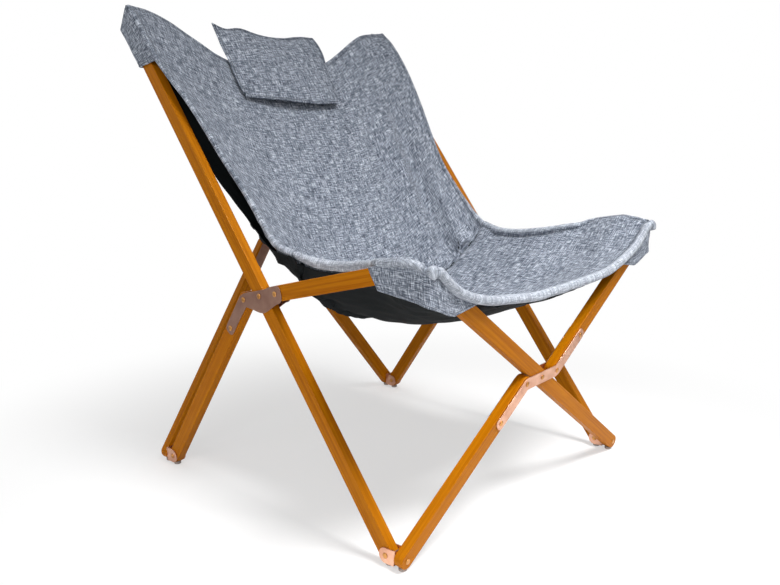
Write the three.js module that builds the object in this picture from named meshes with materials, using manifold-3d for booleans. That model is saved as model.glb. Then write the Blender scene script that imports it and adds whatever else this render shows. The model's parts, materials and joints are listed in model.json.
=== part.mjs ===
// Folding butterfly sling chair: four crossed pairs of wooden bars, copper plates and foot brackets,
// and a quilted fabric sling with corner pockets and a small head pillow.
// Millimetres, +Z up. The sitter faces -Y and the sitter's right hand is at -X.
import * as THREE from "three";
import { mergeVertices } from "three/addons/utils/BufferGeometryUtils.js";
import Module from "manifold-3d";

const wasm = await Module();
wasm.setup();

// Overall layout of the frame
const HALF_WIDTH = 314; // middle of the chair to the middle plane of each side frame
const HALF_FOOT_DEPTH = 278; // middle between the feet to each side bar's foot pivot
const DEPTH_SHIFT = -7.3; // moves the feet forwards, so that the whole chair is centred on the origin
const SIDE_CROSSING_RISE = 356; // side crossing above the foot pivots
const FRONT_CROSSING_RISE = 217; // front crossing above its foot pivots, along the leaning plane
const BACK_CROSSING_RISE = 390; // back crossing above its foot pivots, along the leaning plane
const FRONT_LEAN = THREE.MathUtils.degToRad(6); // the front crossed bars lean forwards
const BACK_LEAN = THREE.MathUtils.degToRad(3.2); // the back crossed bars lean backwards

// Wooden bars
const BAR_WIDTH = 26;
const BAR_THICKNESS = 17;
const BAR_CHAMFER = 1.5;
const FOOT_CUT = 0.5; // how deep the flat over a glide is cut into a bar's round end
const BAR_SPACE = 1; // between two bars that lie side by side when the chair is folded
const POST_LENGTH = 1011; // foot pivot to the middle of the top end's round
const FRONT_END_INSET = 2; // between a front bar's top end and the side bars' outer faces
const BACK_END_SPACE = 10; // between a back bar's top end and the post in front of it
const BACK_END_INSET = 30; // its round's middle stays this far inside the side frame's middle plane
const CORNER_LIFT = 21; // the seat rails' axes pass this far over the front bars' top ends
const RAIL_END_SPACE = 34; // between a seat rail's tip and the front bars' plane

// Copper plates, pins and foot brackets
const PLATE_THICKNESS = 1.6;
const PLATE_WIDTH = 21;
const PLATE_GAP = 0.3; // between a plate and the bar that it lies on
const RIVET_PITCH = 82; // between the two rivets of a Z plate's arm
const ELBOW_NEAR_RIVET = 33;
const ELBOW_RIVET_PITCH = 67;
const RAIL_PIVOT_STEP = 30; // side crossing to the rail pivot, along the lower bar's direction
const ELBOW_BULGE_RADIUS = 22;
const ELBOW_BULGE_DROP = 6;
const PIN_SEGMENTS = 8;
const PIN_RADIUS = 2.6;
const PIN_CLEARANCE = 0.3;
const HEAD_RADIUS = 4.6;
const HEAD_HEIGHT = 1.4;
const RIVET_SINK = 0.2; // a fixing rivet's head is peened into the outer plate by this
const BRACKET_THICKNESS = 1.8;
const BRACKET_HEIGHT = 25;
const EAR_GAP = 0.4; // between an ear and the side bar
const END_SPACE = 3.4; // between a side bar's round end and the bracket's base
const GLIDE_RADIUS = 6.5;
const GLIDE_HEIGHT = 5.2;
const GLIDE_GAP = 0.3;

// Fabric
const SLING_THICKNESS = 6;
const POCKET_THICKNESS = 2.4;
const FABRIC_GAP = 0.5; // between the fabric and the bars that it rests on
const PANEL_AHEAD = 37; // the back's side edges ahead of the posts' axes
const PANEL_AHEAD_TOP = 27; // and at the top corners
const TOP_EDGE_DIP = 88; // the top edge's middle below its corners, along the posts
const TOP_SAG = 19; // the top edge's middle behind the posts' axes
const FRONT_EDGE_SPACE = 51; // the front edge ahead of the rails' front ends
const FRONT_EDGE_DROP = 19; // its corners below the cloth on the rails
const FRONT_EDGE_DIP = 75; // its middle below its corners
const CROWN_POWER = 2.2; // how the sling's sections run from the edge to the middle
const CROWN_POWER_FRONT = 3.3; // and at the seat's front edge
const CROWN_FLAT = 0.04; // share of the half width over which the back's sections are flat at their edges
const BACK_POCKET_LENGTH = 118;
const BACK_POCKET_DEPTH = 34; // front to back along the post's outer side
const BACK_POCKET_SLANT = 0.5; // its top falls towards the back
const BACK_MOUTH_SLANT = 0.6; // its mouth rises towards the back
const SEAT_POCKET_LENGTH = 61; // how far a seat pocket runs back over the rail
const SEAT_POCKET_NOSE = 47; // how far it runs on in front of the rail's tip
const SEAT_POCKET_DROP = 8; // how far it hangs below the rail
const SEAT_POCKET_FRONT = 108; // its width in front of the front bar
const SEAT_POCKET_UNDER = 17; // how far its front hangs below the front bar's axis
const FRONT_WALL_INSET = 0.035; // its front meets the seat this share of the seat's length behind the edge
const SEAM_GAP = 0.4; // between pieces of fabric that are sewn together
const SEAT_SEAM_STEP = 0.4; // the seat's lower rim stands out by this share of its thickness
const CREASE_SHARE = 0.0012; // half the seam gap at the crease, as a share of a panel's length
const PILLOW_WIDTH = 253;
const PILLOW_HEIGHT = 180;
const PILLOW_THICKNESS = 24;
const PILLOW_HEM = 3;
const PILLOW_DROP = 92; // its middle below the top corners, along the posts
const PILLOW_SIDE_DRAW = 0.035; // share by which the sides pull in between the corners

// Values that follow from the sizes above
const JOG = BAR_WIDTH + BAR_SPACE; // sideways step of a split bar at its crossing
const BAR_END = BAR_WIDTH / 2;
const PLATE_FACE = BAR_THICKNESS / 2 + PLATE_GAP; // mid plane to a plate's inner face
const PLATE_GRIP = 2 * (PLATE_FACE + PLATE_THICKNESS + PLATE_GAP); // between two rivet heads
const EAR_FACE = BAR_THICKNESS / 2 + EAR_GAP;
const BRACKET_REACH = BAR_END + END_SPACE + BRACKET_THICKNESS + PLATE_FACE; // side pivot to X plane
const BORE_RADIUS = PIN_RADIUS + PIN_CLEARANCE;
const GLIDE_SEAT = BAR_END - FOOT_CUT; // foot pivot to the flat over a glide
const PIVOT_HEIGHT = GLIDE_SEAT + GLIDE_GAP + GLIDE_HEIGHT; // foot pivots above the floor
const sideSpan = Math.hypot(HALF_FOOT_DEPTH, SIDE_CROSSING_RISE); // foot pivot to side crossing
const postAngle = Math.atan2(SIDE_CROSSING_RISE, HALF_FOOT_DEPTH);
const frontAngle = Math.atan2(FRONT_CROSSING_RISE, HALF_WIDTH);
const backAngle = Math.atan2(BACK_CROSSING_RISE, HALF_WIDTH);

// Crossing to the middle of a front bar's top round
const frontTopReach = (HALF_WIDTH + BAR_THICKNESS / 2 - BAR_END - FRONT_END_INSET) / Math.cos(frontAngle);

// The back bars end short of where their front faces would meet the posts' rear faces.
const backFaceDepth = 2 * HALF_FOOT_DEPTH + (BRACKET_REACH - BAR_THICKNESS / 2) / Math.cos(BACK_LEAN);
const backMeeting =
  (backFaceDepth * Math.sin(postAngle) - BAR_END - BACK_END_SPACE) / Math.cos(postAngle + BACK_LEAN);
const backTopReach = Math.min(
  (backMeeting - BAR_END - BACK_CROSSING_RISE) / Math.sin(backAngle),
  (HALF_WIDTH - BACK_END_INSET) / Math.cos(backAngle),
);

const WOOD = new THREE.MeshStandardMaterial({ color: 0xae6c19, roughness: 0.45, metalness: 0 });
const COPPER = new THREE.MeshStandardMaterial({ color: 0xdab299, roughness: 0.35, metalness: 1 });
const GLIDE = new THREE.MeshStandardMaterial({ color: 0x9d9590, roughness: 0.7, metalness: 0 });
const FABRIC = new THREE.MeshStandardMaterial({ color: 0x9aa0aa, roughness: 0.95, metalness: 0 });

// Solids: closed geometries joined and cut

function solidOf(geometry) {
  const bare = geometry.clone();
  bare.deleteAttribute("normal");
  bare.deleteAttribute("uv");
  const merged = mergeVertices(bare, 1e-4);
  return new wasm.Manifold(
    new wasm.Mesh({
      numProp: 3,
      vertProperties: new Float32Array(merged.attributes.position.array),
      triVerts: new Uint32Array(merged.index.array),
    }),
  );
}

function geometryOf(solid) {
  const mesh = solid.getMesh();
  const geometry = new THREE.BufferGeometry();
  geometry.setAttribute("position", new THREE.BufferAttribute(mesh.vertProperties, 3));
  geometry.setIndex(new THREE.BufferAttribute(mesh.triVerts, 1));
  return geometry;
}

const joined = (geometries) =>
  geometryOf(geometries.map(solidOf).reduce((whole, next) => whole.add(next)));

const cut = (geometry, tools) =>
  geometryOf(tools.map(solidOf).reduce((whole, tool) => whole.subtract(tool), solidOf(geometry)));

// A round cutter along local z at a point of the plane.
function bore(point, length) {
  const cutter = new THREE.CylinderGeometry(BORE_RADIUS, BORE_RADIUS, length, PIN_SEGMENTS);
  return cutter.rotateX(Math.PI / 2).translate(point.x, point.y, 0);
}

// A flat piece of even thickness, centred on the local plane.
function flat(shape, thickness, segments = 5) {
  const geometry = new THREE.ExtrudeGeometry(shape, {
    depth: thickness,
    bevelEnabled: false,
    curveSegments: segments,
  });
  return geometry.translate(0, 0, -thickness / 2);
}

// The outline of a strip with round ends between two points of the plane.
function strip(from, to, width) {
  const along = to.clone().sub(from);
  const angle = along.angle();
  const shape = new THREE.Shape();
  shape.absarc(from.x, from.y, width / 2, angle + Math.PI / 2, angle + 1.5 * Math.PI, false);
  shape.absarc(to.x, to.y, width / 2, angle - Math.PI / 2, angle + Math.PI / 2, false);
  shape.closePath();
  return shape;
}

function disc(point, radius) {
  const shape = new THREE.Shape();
  shape.absarc(point.x, point.y, radius, 0, 2 * Math.PI, false);
  return shape;
}

const at = (length, angle) => new THREE.Vector2(length * Math.cos(angle), length * Math.sin(angle));

// A wooden bar along local +x from its first round end at the origin. `bores` are distances along
// it. `footAngle` is the bar's own angle in its frame: the foot end then has a flat over its glide.
function barGeometry(length, bores, footAngle = null) {
  const shape = new THREE.Shape();
  shape.absarc(length, 0, BAR_END, -Math.PI / 2, Math.PI / 2, false);
  if (footAngle === null) {
    shape.absarc(0, 0, BAR_END, Math.PI / 2, 1.5 * Math.PI, false);
  } else {
    const down = 1.5 * Math.PI - footAngle;
    const half = Math.acos(GLIDE_SEAT / BAR_END);
    shape.absarc(0, 0, BAR_END, Math.PI / 2, down - half, false);
    shape.absarc(0, 0, BAR_END, down + half, 1.5 * Math.PI, false);
  }
  shape.closePath();
  const bar = new THREE.ExtrudeGeometry(shape, {
    depth: BAR_THICKNESS - 2 * BAR_CHAMFER,
    bevelThickness: BAR_CHAMFER,
    bevelSize: BAR_CHAMFER,
    bevelOffset: -BAR_CHAMFER,
    bevelSegments: 1,
    curveSegments: 5,
  });
  bar.translate(0, 0, BAR_CHAMFER - BAR_THICKNESS / 2);
  return cut(bar, bores.map((x) => bore(new THREE.Vector2(x, 0), 2 * BAR_THICKNESS)));
}

// A pin along local z with a domed head at each end, or at the +z end alone. `grip` is the stack
// between the heads, from `grip / 2` down.
function pinGeometry(grip, heads = 2) {
  const dome = (side) => [
    new THREE.Vector2(HEAD_RADIUS, (side * grip) / 2),
    new THREE.Vector2(HEAD_RADIUS * 0.8, side * (grip / 2 + HEAD_HEIGHT * 0.7)),
    new THREE.Vector2(0, side * (grip / 2 + HEAD_HEIGHT)),
  ];
  const lower = heads === 2 ? dome(-1).reverse() : [new THREE.Vector2(0, -grip / 2)];
  const shank = [new THREE.Vector2(PIN_RADIUS, -grip / 2), new THREE.Vector2(PIN_RADIUS, grip / 2)];
  return new THREE.LatheGeometry([...lower, ...shank, ...dome(1)], PIN_SEGMENTS).rotateX(Math.PI / 2);
}

// A piece of cloth: a surface of (u, v) in 0..1 thickened evenly along its normals into a closed
// solid. `thickness` may be a function of (u, v).
function clothGeometry(surface, columns, rows, thickness) {
  const depth = typeof thickness === "function" ? thickness : () => thickness;
  const step = 1e-3;
  const positions = [];
  const normalAt = (u, v) => {
    const across = surface(Math.min(u + step, 1), v).sub(surface(Math.max(u - step, 0), v));
    const along = surface(u, Math.min(v + step, 1)).sub(surface(u, Math.max(v - step, 0)));
    return across.cross(along).normalize();
  };
  for (const side of [1, -1]) {
    for (let row = 0; row <= rows; row += 1) {
      for (let column = 0; column <= columns; column += 1) {
        const u = column / columns;
        const v = row / rows;
        const point = surface(u, v).addScaledVector(normalAt(u, v), (side * depth(u, v)) / 2);
        positions.push(point.x, point.y, point.z);
      }
    }
  }
  const layer = (columns + 1) * (rows + 1);
  const corner = (column, row, side) => side * layer + row * (columns + 1) + column;
  const faces = [];
  const quad = (a, b, c, d) => faces.push(a, b, c, a, c, d);
  for (let row = 0; row < rows; row += 1) {
    for (let column = 0; column < columns; column += 1) {
      const [c1, r1] = [column + 1, row + 1];
      quad(corner(column, row, 0), corner(c1, row, 0), corner(c1, r1, 0), corner(column, r1, 0));
      quad(corner(column, row, 1), corner(column, r1, 1), corner(c1, r1, 1), corner(c1, row, 1));
    }
  }
  for (let column = 0; column < columns; column += 1) {
    const next = column + 1;
    quad(corner(next, 0, 0), corner(column, 0, 0), corner(column, 0, 1), corner(next, 0, 1));
    quad(corner(column, rows, 0), corner(next, rows, 0), corner(next, rows, 1), corner(column, rows, 1));
  }
  for (let row = 0; row < rows; row += 1) {
    const next = row + 1;
    quad(corner(0, row, 0), corner(0, next, 0), corner(0, next, 1), corner(0, row, 1));
    quad(corner(columns, next, 0), corner(columns, row, 0), corner(columns, row, 1), corner(columns, next, 1));
  }
  const geometry = new THREE.BufferGeometry();
  geometry.setAttribute("position", new THREE.Float32BufferAttribute(positions, 3));
  geometry.setIndex(faces);
  return geometry;
}

function mesh(name, geometry, material, parent) {
  const made = new THREE.Mesh(geometry, material);
  made.name = name;
  parent.add(made);
  return made;
}

// A bar in a plane: its first round end at `pivot`, turned to `angle`.
function addBar(parent, name, pivot, angle, length, bores, onFloor) {
  const bar = mesh(name, barGeometry(length, bores, onFloor ? angle : null), WOOD, parent);
  bar.position.set(pivot.x, pivot.y, 0);
  bar.rotation.z = angle;
  return bar;
}

// Frames: each crossed pair of bars has its own plane

const chair = new THREE.Group();
const footFront = -HALF_FOOT_DEPTH + DEPTH_SHIFT;
const footRear = HALF_FOOT_DEPTH + DEPTH_SHIFT;

// Side planes: local x runs to the rear, y up and z to +X.
function sidePlane(x) {
  const plane = new THREE.Group();
  plane.position.set(x, DEPTH_SHIFT, PIVOT_HEIGHT);
  plane.quaternion.set(0.5, 0.5, 0.5, 0.5);
  chair.add(plane);
  return plane;
}

// Front and back planes: local x runs to +X, y up along the lean and z forwards.
function crossPlane(y, lean) {
  const plane = new THREE.Group();
  plane.position.set(0, y, PIVOT_HEIGHT);
  plane.rotation.x = Math.PI / 2 + lean;
  chair.add(plane);
  return plane;
}

const frontPlane = crossPlane(footFront - BRACKET_REACH / Math.cos(FRONT_LEAN), FRONT_LEAN);
const backPlane = crossPlane(footRear + BRACKET_REACH / Math.cos(BACK_LEAN), -BACK_LEAN);

// Glides: a flat round pad under each bar's foot, upright whatever the bar's plane does.
function addGlide(name, x, y, lean) {
  const drop = GLIDE_SEAT * Math.sin(lean);
  const tilt = GLIDE_RADIUS * Math.abs(Math.sin(lean));
  const height = PIVOT_HEIGHT - GLIDE_SEAT * Math.cos(lean) - GLIDE_GAP - tilt;
  const shape = new THREE.LatheGeometry(
    [
      new THREE.Vector2(0, 0),
      new THREE.Vector2(GLIDE_RADIUS - 0.6, 0),
      new THREE.Vector2(GLIDE_RADIUS, 0.6),
      new THREE.Vector2(GLIDE_RADIUS, height),
      new THREE.Vector2(0, height),
    ],
    12,
  );
  mesh(name, shape.rotateX(Math.PI / 2), GLIDE, chair).position.set(x, y + drop, 0);
}

// The two side frames

const sideCrossing = new THREE.Vector2(0, SIDE_CROSSING_RISE);
const lowerAngle = Math.PI - postAngle - Math.asin(JOG / sideSpan);
const lowerReach = Math.sqrt(sideSpan ** 2 - JOG ** 2); // foot pivot to beside the crossing

// A point of an elbow plate: `along` the lower bar's direction and `behind` the crossing.
const elbowPoint = (along, behind) =>
  sideCrossing.clone().add(at(along, lowerAngle)).add(at(behind, lowerAngle - Math.PI / 2));

const elbowNear = elbowPoint(-ELBOW_NEAR_RIVET, JOG);
const elbowFar = elbowPoint(-ELBOW_NEAR_RIVET - ELBOW_RIVET_PITCH, JOG);
const railPivot = elbowPoint(RAIL_PIVOT_STEP, -JOG);

// The seat rails point to just over the front bars' top ends.
const cornerRise = FRONT_CROSSING_RISE + frontTopReach * Math.sin(frontAngle) + CORNER_LIFT;
const seatCorner = at(cornerRise, Math.PI / 2 + FRONT_LEAN);
seatCorner.x -= HALF_FOOT_DEPTH + BRACKET_REACH / Math.cos(FRONT_LEAN);
const railLine = seatCorner.clone().sub(railPivot);
const railAngle = railLine.angle();
const railTip = railLine.length() - RAIL_END_SPACE; // rail pivot to the rail's front end

function elbowGeometry() {
  const arm = flat(strip(elbowFar, elbowNear, PLATE_WIDTH), PLATE_THICKNESS);
  const beam = flat(strip(elbowNear, railPivot, PLATE_WIDTH), PLATE_THICKNESS);
  const down = at(ELBOW_BULGE_DROP, railPivot.clone().sub(elbowNear).angle() + Math.PI / 2);
  const bulge = flat(disc(sideCrossing.clone().add(down), ELBOW_BULGE_RADIUS), PLATE_THICKNESS, 8);
  const nose = flat(disc(railPivot, BAR_END), PLATE_THICKNESS, 8);
  return joined([arm, beam, bulge, nose]);
}

// A pair of plates on both faces of a crossing. The outer one carries the fixing rivets, which are
// peened over it and pass through the bars to a head outside the inner one.
function addPlates(parent, names, outline, rivets, pivots, outerSide) {
  const place = PLATE_FACE + PLATE_THICKNESS / 2;
  const drill = (point) => bore(point, 4 * PLATE_THICKNESS);
  const outer = cut(outline(), pivots.map(drill)).translate(0, 0, outerSide * place);
  const grip = PLATE_GRIP - PLATE_GAP - RIVET_SINK;
  const shift = (-outerSide * (PLATE_GAP + RIVET_SINK)) / 2;
  const shanks = rivets.map((point) => pinGeometry(grip).translate(point.x, point.y, shift));
  mesh(names[0], joined([outer, ...shanks]), COPPER, parent);
  const inner = cut(outline(), [...pivots, ...rivets].map(drill));
  mesh(names[1], inner.translate(0, 0, -outerSide * place), COPPER, parent);
}

function addPin(parent, name, point, grip) {
  mesh(name, pinGeometry(grip), COPPER, parent).position.set(point.x, point.y, 0);
}

for (const [side, sign] of [["right", -1], ["left", 1]]) {
  const plane = sidePlane(sign * HALF_WIDTH);
  const frontFoot = new THREE.Vector2(-HALF_FOOT_DEPTH, 0);
  const rearFoot = new THREE.Vector2(HALF_FOOT_DEPTH, 0);
  addBar(plane, `post_${side}`, frontFoot, postAngle, POST_LENGTH, [0, sideSpan], true);
  const lowerBores = [0, lowerReach - ELBOW_NEAR_RIVET - ELBOW_RIVET_PITCH, lowerReach - ELBOW_NEAR_RIVET];
  addBar(plane, `rear_leg_${side}`, rearFoot, lowerAngle, lowerReach - ELBOW_NEAR_RIVET, lowerBores, true);
  addBar(plane, `seat_rail_${side}`, railPivot, railAngle, railTip - BAR_END, [0], false);
  const plates = [`elbow_plate_outer_${side}`, `elbow_plate_inner_${side}`];
  addPlates(plane, plates, elbowGeometry, [elbowFar, elbowNear], [sideCrossing, railPivot], sign);
  addPin(plane, `elbow_pin_${side}`, sideCrossing, PLATE_GRIP);
  addPin(plane, `rail_pin_${side}`, railPivot, PLATE_GRIP);
  addGlide(`glide_post_${side}`, sign * HALF_WIDTH, footFront, 0);
  addGlide(`glide_rear_leg_${side}`, sign * HALF_WIDTH, footRear, 0);
}

// The front and back crossed bars: one bar runs through, and the other is split at the crossing
// and stepped over to both sides of it, so that all lie in one plane.

// The rivet next to the crossing is as near as lets the split bar's round end clear the through bar.
const frontSpan = Math.hypot(HALF_WIDTH, FRONT_CROSSING_RISE);
const frontCross = Math.PI - 2 * frontAngle - Math.asin(JOG / frontSpan);
const nearRivet = (BAR_WIDTH + BAR_SPACE - JOG * Math.cos(frontCross)) / Math.sin(frontCross);

const zPoint = (along, left) => new THREE.Vector2(along, left);
const zRivets = [
  zPoint(-nearRivet - RIVET_PITCH, JOG),
  zPoint(-nearRivet, JOG),
  zPoint(nearRivet, -JOG),
  zPoint(nearRivet + RIVET_PITCH, -JOG),
];

function zPlateGeometry() {
  const corners = zRivets.slice(1).map((to, i) => [zRivets[i], to]);
  return joined(corners.map(([from, to]) => flat(strip(from, to, PLATE_WIDTH), PLATE_THICKNESS)));
}

function addCross(plane, place, rise, angle, topReach, outerSide) {
  const span = Math.hypot(HALF_WIDTH, rise);
  const splitAngle = angle + Math.asin(JOG / span);
  const throughAngle = Math.PI - angle;
  const splitReach = Math.sqrt(span ** 2 - JOG ** 2);
  const right = new THREE.Vector2(-HALF_WIDTH, 0);
  const left = new THREE.Vector2(HALF_WIDTH, 0);
  const far = splitReach - nearRivet - RIVET_PITCH;
  const near = splitReach - nearRivet;
  addBar(plane, `${place}_bar_lower`, right, splitAngle, near, [0, far, near], true);
  const joint = new THREE.Group();
  joint.position.set(0, rise, 0);
  joint.rotation.z = splitAngle;
  plane.add(joint);
  const upperLength = topReach - nearRivet;
  addBar(joint, `${place}_bar_upper`, zRivets[2], 0, upperLength, [0, RIVET_PITCH], false);
  addBar(plane, `${place}_bar_through`, left, throughAngle, span + topReach, [0, span], true);
  const centre = new THREE.Vector2(0, 0);
  const plates = [`${place}_plate_outer`, `${place}_plate_inner`];
  addPlates(joint, plates, zPlateGeometry, zRivets, [centre], outerSide);
  addPin(joint, `${place}_crossing_pin`, centre, PLATE_GRIP);
}

addCross(frontPlane, "front", FRONT_CROSSING_RISE, frontAngle, frontTopReach, 1);
addCross(backPlane, "back", BACK_CROSSING_RISE, backAngle, backTopReach, -1);

for (const [side, sign] of [["right", -1], ["left", 1]]) {
  addGlide(`glide_front_bar_${side}`, sign * HALF_WIDTH, frontPlane.position.y, FRONT_LEAN);
  addGlide(`glide_back_bar_${side}`, sign * HALF_WIDTH, backPlane.position.y, -BACK_LEAN);
}

// Foot brackets: a base on the inner face of a front or back bar, and two ears round a side bar's
// end. `inward` is the local z direction that leads from the base to the side bar.

function bracketGeometry(lean, inward) {
  const baseFace = PLATE_FACE + BRACKET_THICKNESS / 2;
  const width = 2 * (EAR_FACE + BRACKET_THICKNESS);
  const sidePivot = new THREE.Vector2(BRACKET_REACH, -BRACKET_REACH * Math.tan(Math.abs(lean)));
  const base = new THREE.BoxGeometry(width, BRACKET_HEIGHT, BRACKET_THICKNESS);
  base.translate(0, 0, inward * baseFace);
  const outline = new THREE.Shape();
  const half = BRACKET_HEIGHT / 2;
  outline.moveTo(PLATE_FACE, half);
  outline.lineTo(PLATE_FACE, -half);
  outline.absarc(sidePivot.x, sidePivot.y, half, -Math.PI / 2, Math.PI / 2, false);
  outline.closePath();
  const ears = [-1, 1].map((sign) => {
    const ear = flat(outline, BRACKET_THICKNESS, 7);
    ear.rotateY(-inward * (Math.PI / 2));
    return ear.translate(sign * (EAR_FACE + BRACKET_THICKNESS / 2), 0, 0);
  });
  const cross = new THREE.CylinderGeometry(BORE_RADIUS, BORE_RADIUS, 2 * width, PIN_SEGMENTS);
  cross.rotateZ(Math.PI / 2).translate(0, sidePivot.y, inward * sidePivot.x);
  return cut(joined([base, ...ears]), [bore(new THREE.Vector2(0, 0), 4 * BRACKET_REACH), cross]);
}

// The pin that a front or back bar turns on: from the bar's outer face to inside the bracket's base.
function addFootPin(parent, name, x, inward, reachesBracket) {
  const outer = BAR_THICKNESS / 2 + PLATE_GAP;
  const inner = reachesBracket ? PLATE_FACE + BRACKET_THICKNESS + PLATE_GAP : BAR_THICKNESS / 2;
  const pin = mesh(name, pinGeometry(outer + inner, reachesBracket ? 2 : 1), COPPER, parent);
  pin.rotation.y = inward > 0 ? Math.PI : 0;
  pin.position.set(x, 0, (inward * (inner - outer)) / 2);
}

const earGrip = 2 * (EAR_FACE + BRACKET_THICKNESS + PLATE_GAP);
for (const [side, sign] of [["right", -1], ["left", 1]]) {
  for (const [place, plane, lean, inward] of [
    ["front", frontPlane, FRONT_LEAN, -1],
    ["rear", backPlane, -BACK_LEAN, 1],
  ]) {
    const bracket = mesh(`foot_bracket_${place}_${side}`, bracketGeometry(lean, inward), COPPER, plane);
    bracket.position.x = sign * HALF_WIDTH;
    const earPin = mesh(`foot_side_pin_${place}_${side}`, pinGeometry(earGrip), COPPER, plane);
    earPin.rotation.y = Math.PI / 2;
    const drop = -BRACKET_REACH * Math.tan(Math.abs(lean));
    earPin.position.set(sign * HALF_WIDTH, drop, inward * BRACKET_REACH);
    const openPivot = place === "front" && side === "left";
    addFootPin(plane, `foot_bar_pin_${place}_${side}`, sign * HALF_WIDTH, inward, !openPivot);
  }
}

// The sling: two quilted panels that meet in a crease, hung from the four top corners

const postDirection = at(1, postAngle);
const postFront = at(1, postAngle + Math.PI / 2);

// A point of the posts' side view: `up` along the post from its foot pivot and `ahead` of its axis.
function besidePost(up, ahead) {
  const point = postDirection.clone().multiplyScalar(up).addScaledVector(postFront, ahead);
  return new THREE.Vector3(0, point.x + footFront, point.y + PIVOT_HEIGHT);
}

// A point of the rails' side view: `out` along the rail from its pivot and `above` its axis.
function besideRail(out, above) {
  const point = railPivot.clone().add(at(out, railAngle)).add(at(above, railAngle - Math.PI / 2));
  return new THREE.Vector3(0, point.x + DEPTH_SHIFT, point.y + PIVOT_HEIGHT);
}

// A point of the side view given from the side crossing: `back` behind it and `up` above it.
function besideCrossing(back, up) {
  return new THREE.Vector3(0, back + DEPTH_SHIFT, up + PIVOT_HEIGHT + SIDE_CROSSING_RISE);
}

const overBar = BAR_END + FABRIC_GAP + SLING_THICKNESS / 2; // bar axis to the middle of cloth on it
const seatFront = besideRail(railTip + FRONT_EDGE_SPACE, overBar - FRONT_EDGE_DROP); // at the corners
const seatDepth = DEPTH_SHIFT - seatFront.y;
const innerEdge = HALF_WIDTH - BAR_THICKNESS / 2 - PLATE_GAP - PLATE_THICKNESS - HEAD_HEIGHT;
const outerEdge = HALF_WIDTH + BAR_THICKNESS / 2 + FABRIC_GAP; // outer side of the bars in a pocket

// A back pocket's walls run from the back's under face to behind the post.
const underPanel = SLING_THICKNESS / 2 + 2.5 * SEAM_GAP;

// The top of the back pockets, `ahead` of the post's axis: it clears the post's round end.
const pocketTopAt = (ahead) =>
  POST_LENGTH + Math.hypot(1, BACK_POCKET_SLANT) * BAR_END + 2 * FABRIC_GAP + BACK_POCKET_SLANT * ahead;
const backTop = pocketTopAt(PANEL_AHEAD_TOP - underPanel);
const backPocketEnd = backTop - BACK_POCKET_LENGTH;

// A point in the back's side view, with its height as a share of the post's length and its distance
// ahead as a share of the side edges'.
const onBack = (up, ahead) => besidePost(up * POST_LENGTH, ahead * PANEL_AHEAD);
// The same for the seat, as shares of its depth and of the side crossings' height.
const onSeat = (back, up) => besideCrossing(back * seatDepth, up * SIDE_CROSSING_RISE);
const withHalfWidth = (point, halfWidth) => new THREE.Vector3(halfWidth, point.y, point.z);

// Side edge of the sling from the top of the back to the front of the seat. x holds the half width.
const CREASE_IN_EDGE = 10; // the crease is at this point of the side edge, counted from 0
const pocketedEdge = outerEdge + POCKET_THICKNESS;
const edgePoints = [
  withHalfWidth(besidePost(backTop, PANEL_AHEAD_TOP), pocketedEdge),
  withHalfWidth(
    besidePost((backTop + backPocketEnd) / 2, (PANEL_AHEAD_TOP + PANEL_AHEAD) / 2),
    pocketedEdge,
  ),
  withHalfWidth(besidePost(backPocketEnd, PANEL_AHEAD), pocketedEdge),
  withHalfWidth(onBack(0.865, 1.02), 1.02 * HALF_WIDTH),
  withHalfWidth(onBack(0.811, 1.04), 0.99 * HALF_WIDTH),
  withHalfWidth(onBack(0.752, 1.03), 0.962 * HALF_WIDTH),
  withHalfWidth(onBack(0.692, 1.04), 0.943 * HALF_WIDTH),
  withHalfWidth(onBack(0.613, 1.11), 0.916 * HALF_WIDTH),
  withHalfWidth(onBack(0.544, 1.12), 0.9 * HALF_WIDTH),
  withHalfWidth(onSeat(0.03, 0.236), 0.895 * HALF_WIDTH),
  withHalfWidth(onSeat(-0.057, 0.177), 0.847 * HALF_WIDTH),
  withHalfWidth(onSeat(-0.1875, 0.16), 0.822 * HALF_WIDTH),
  withHalfWidth(onSeat(-0.31, 0.169), 0.814 * HALF_WIDTH),
  withHalfWidth(onSeat(-0.432, 0.188), 0.822 * HALF_WIDTH),
  withHalfWidth(onSeat(-0.527, 0.208), 0.866 * HALF_WIDTH),
  withHalfWidth(onSeat(-0.609, 0.228), 0.97 * innerEdge),
  withHalfWidth(besideRail(railTip - SEAT_POCKET_LENGTH, overBar), 0.994 * innerEdge),
  withHalfWidth(besideRail(railTip + RAIL_END_SPACE / 4, overBar), innerEdge),
  withHalfWidth(seatFront, innerEdge),
];

// Middle line of the sling, sagging between the edges.
const CREASE_IN_MIDDLE = 4;
const middlePoints = [
  besidePost(backTop - TOP_EDGE_DIP, -TOP_SAG),
  besidePost(0.831 * POST_LENGTH, -1.26 * TOP_SAG),
  besidePost(0.683 * POST_LENGTH, -1.9 * TOP_SAG),
  besidePost(0.534 * POST_LENGTH, -2.95 * TOP_SAG),
  onSeat(0.068, -0.2135),
  onSeat(-0.22, -0.219),
  onSeat(-0.51, -0.157),
  onSeat(-0.77, -0.062),
  seatFront.clone().add(new THREE.Vector3(0, 0, -FRONT_EDGE_DIP)),
];

// The stretch of a smooth line through points that lies between two of them, as shares of the whole.
function stretch(points, from, to) {
  const whole = new THREE.CatmullRomCurve3(points, false, "centripetal");
  const steps = 24;
  const last = points.length - 1;
  const samples = Array.from({ length: steps + 1 }, (_, i) =>
    whole.getPoint(THREE.MathUtils.lerp(from, to, i / steps) / last),
  );
  return new THREE.CatmullRomCurve3(samples);
}

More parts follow.
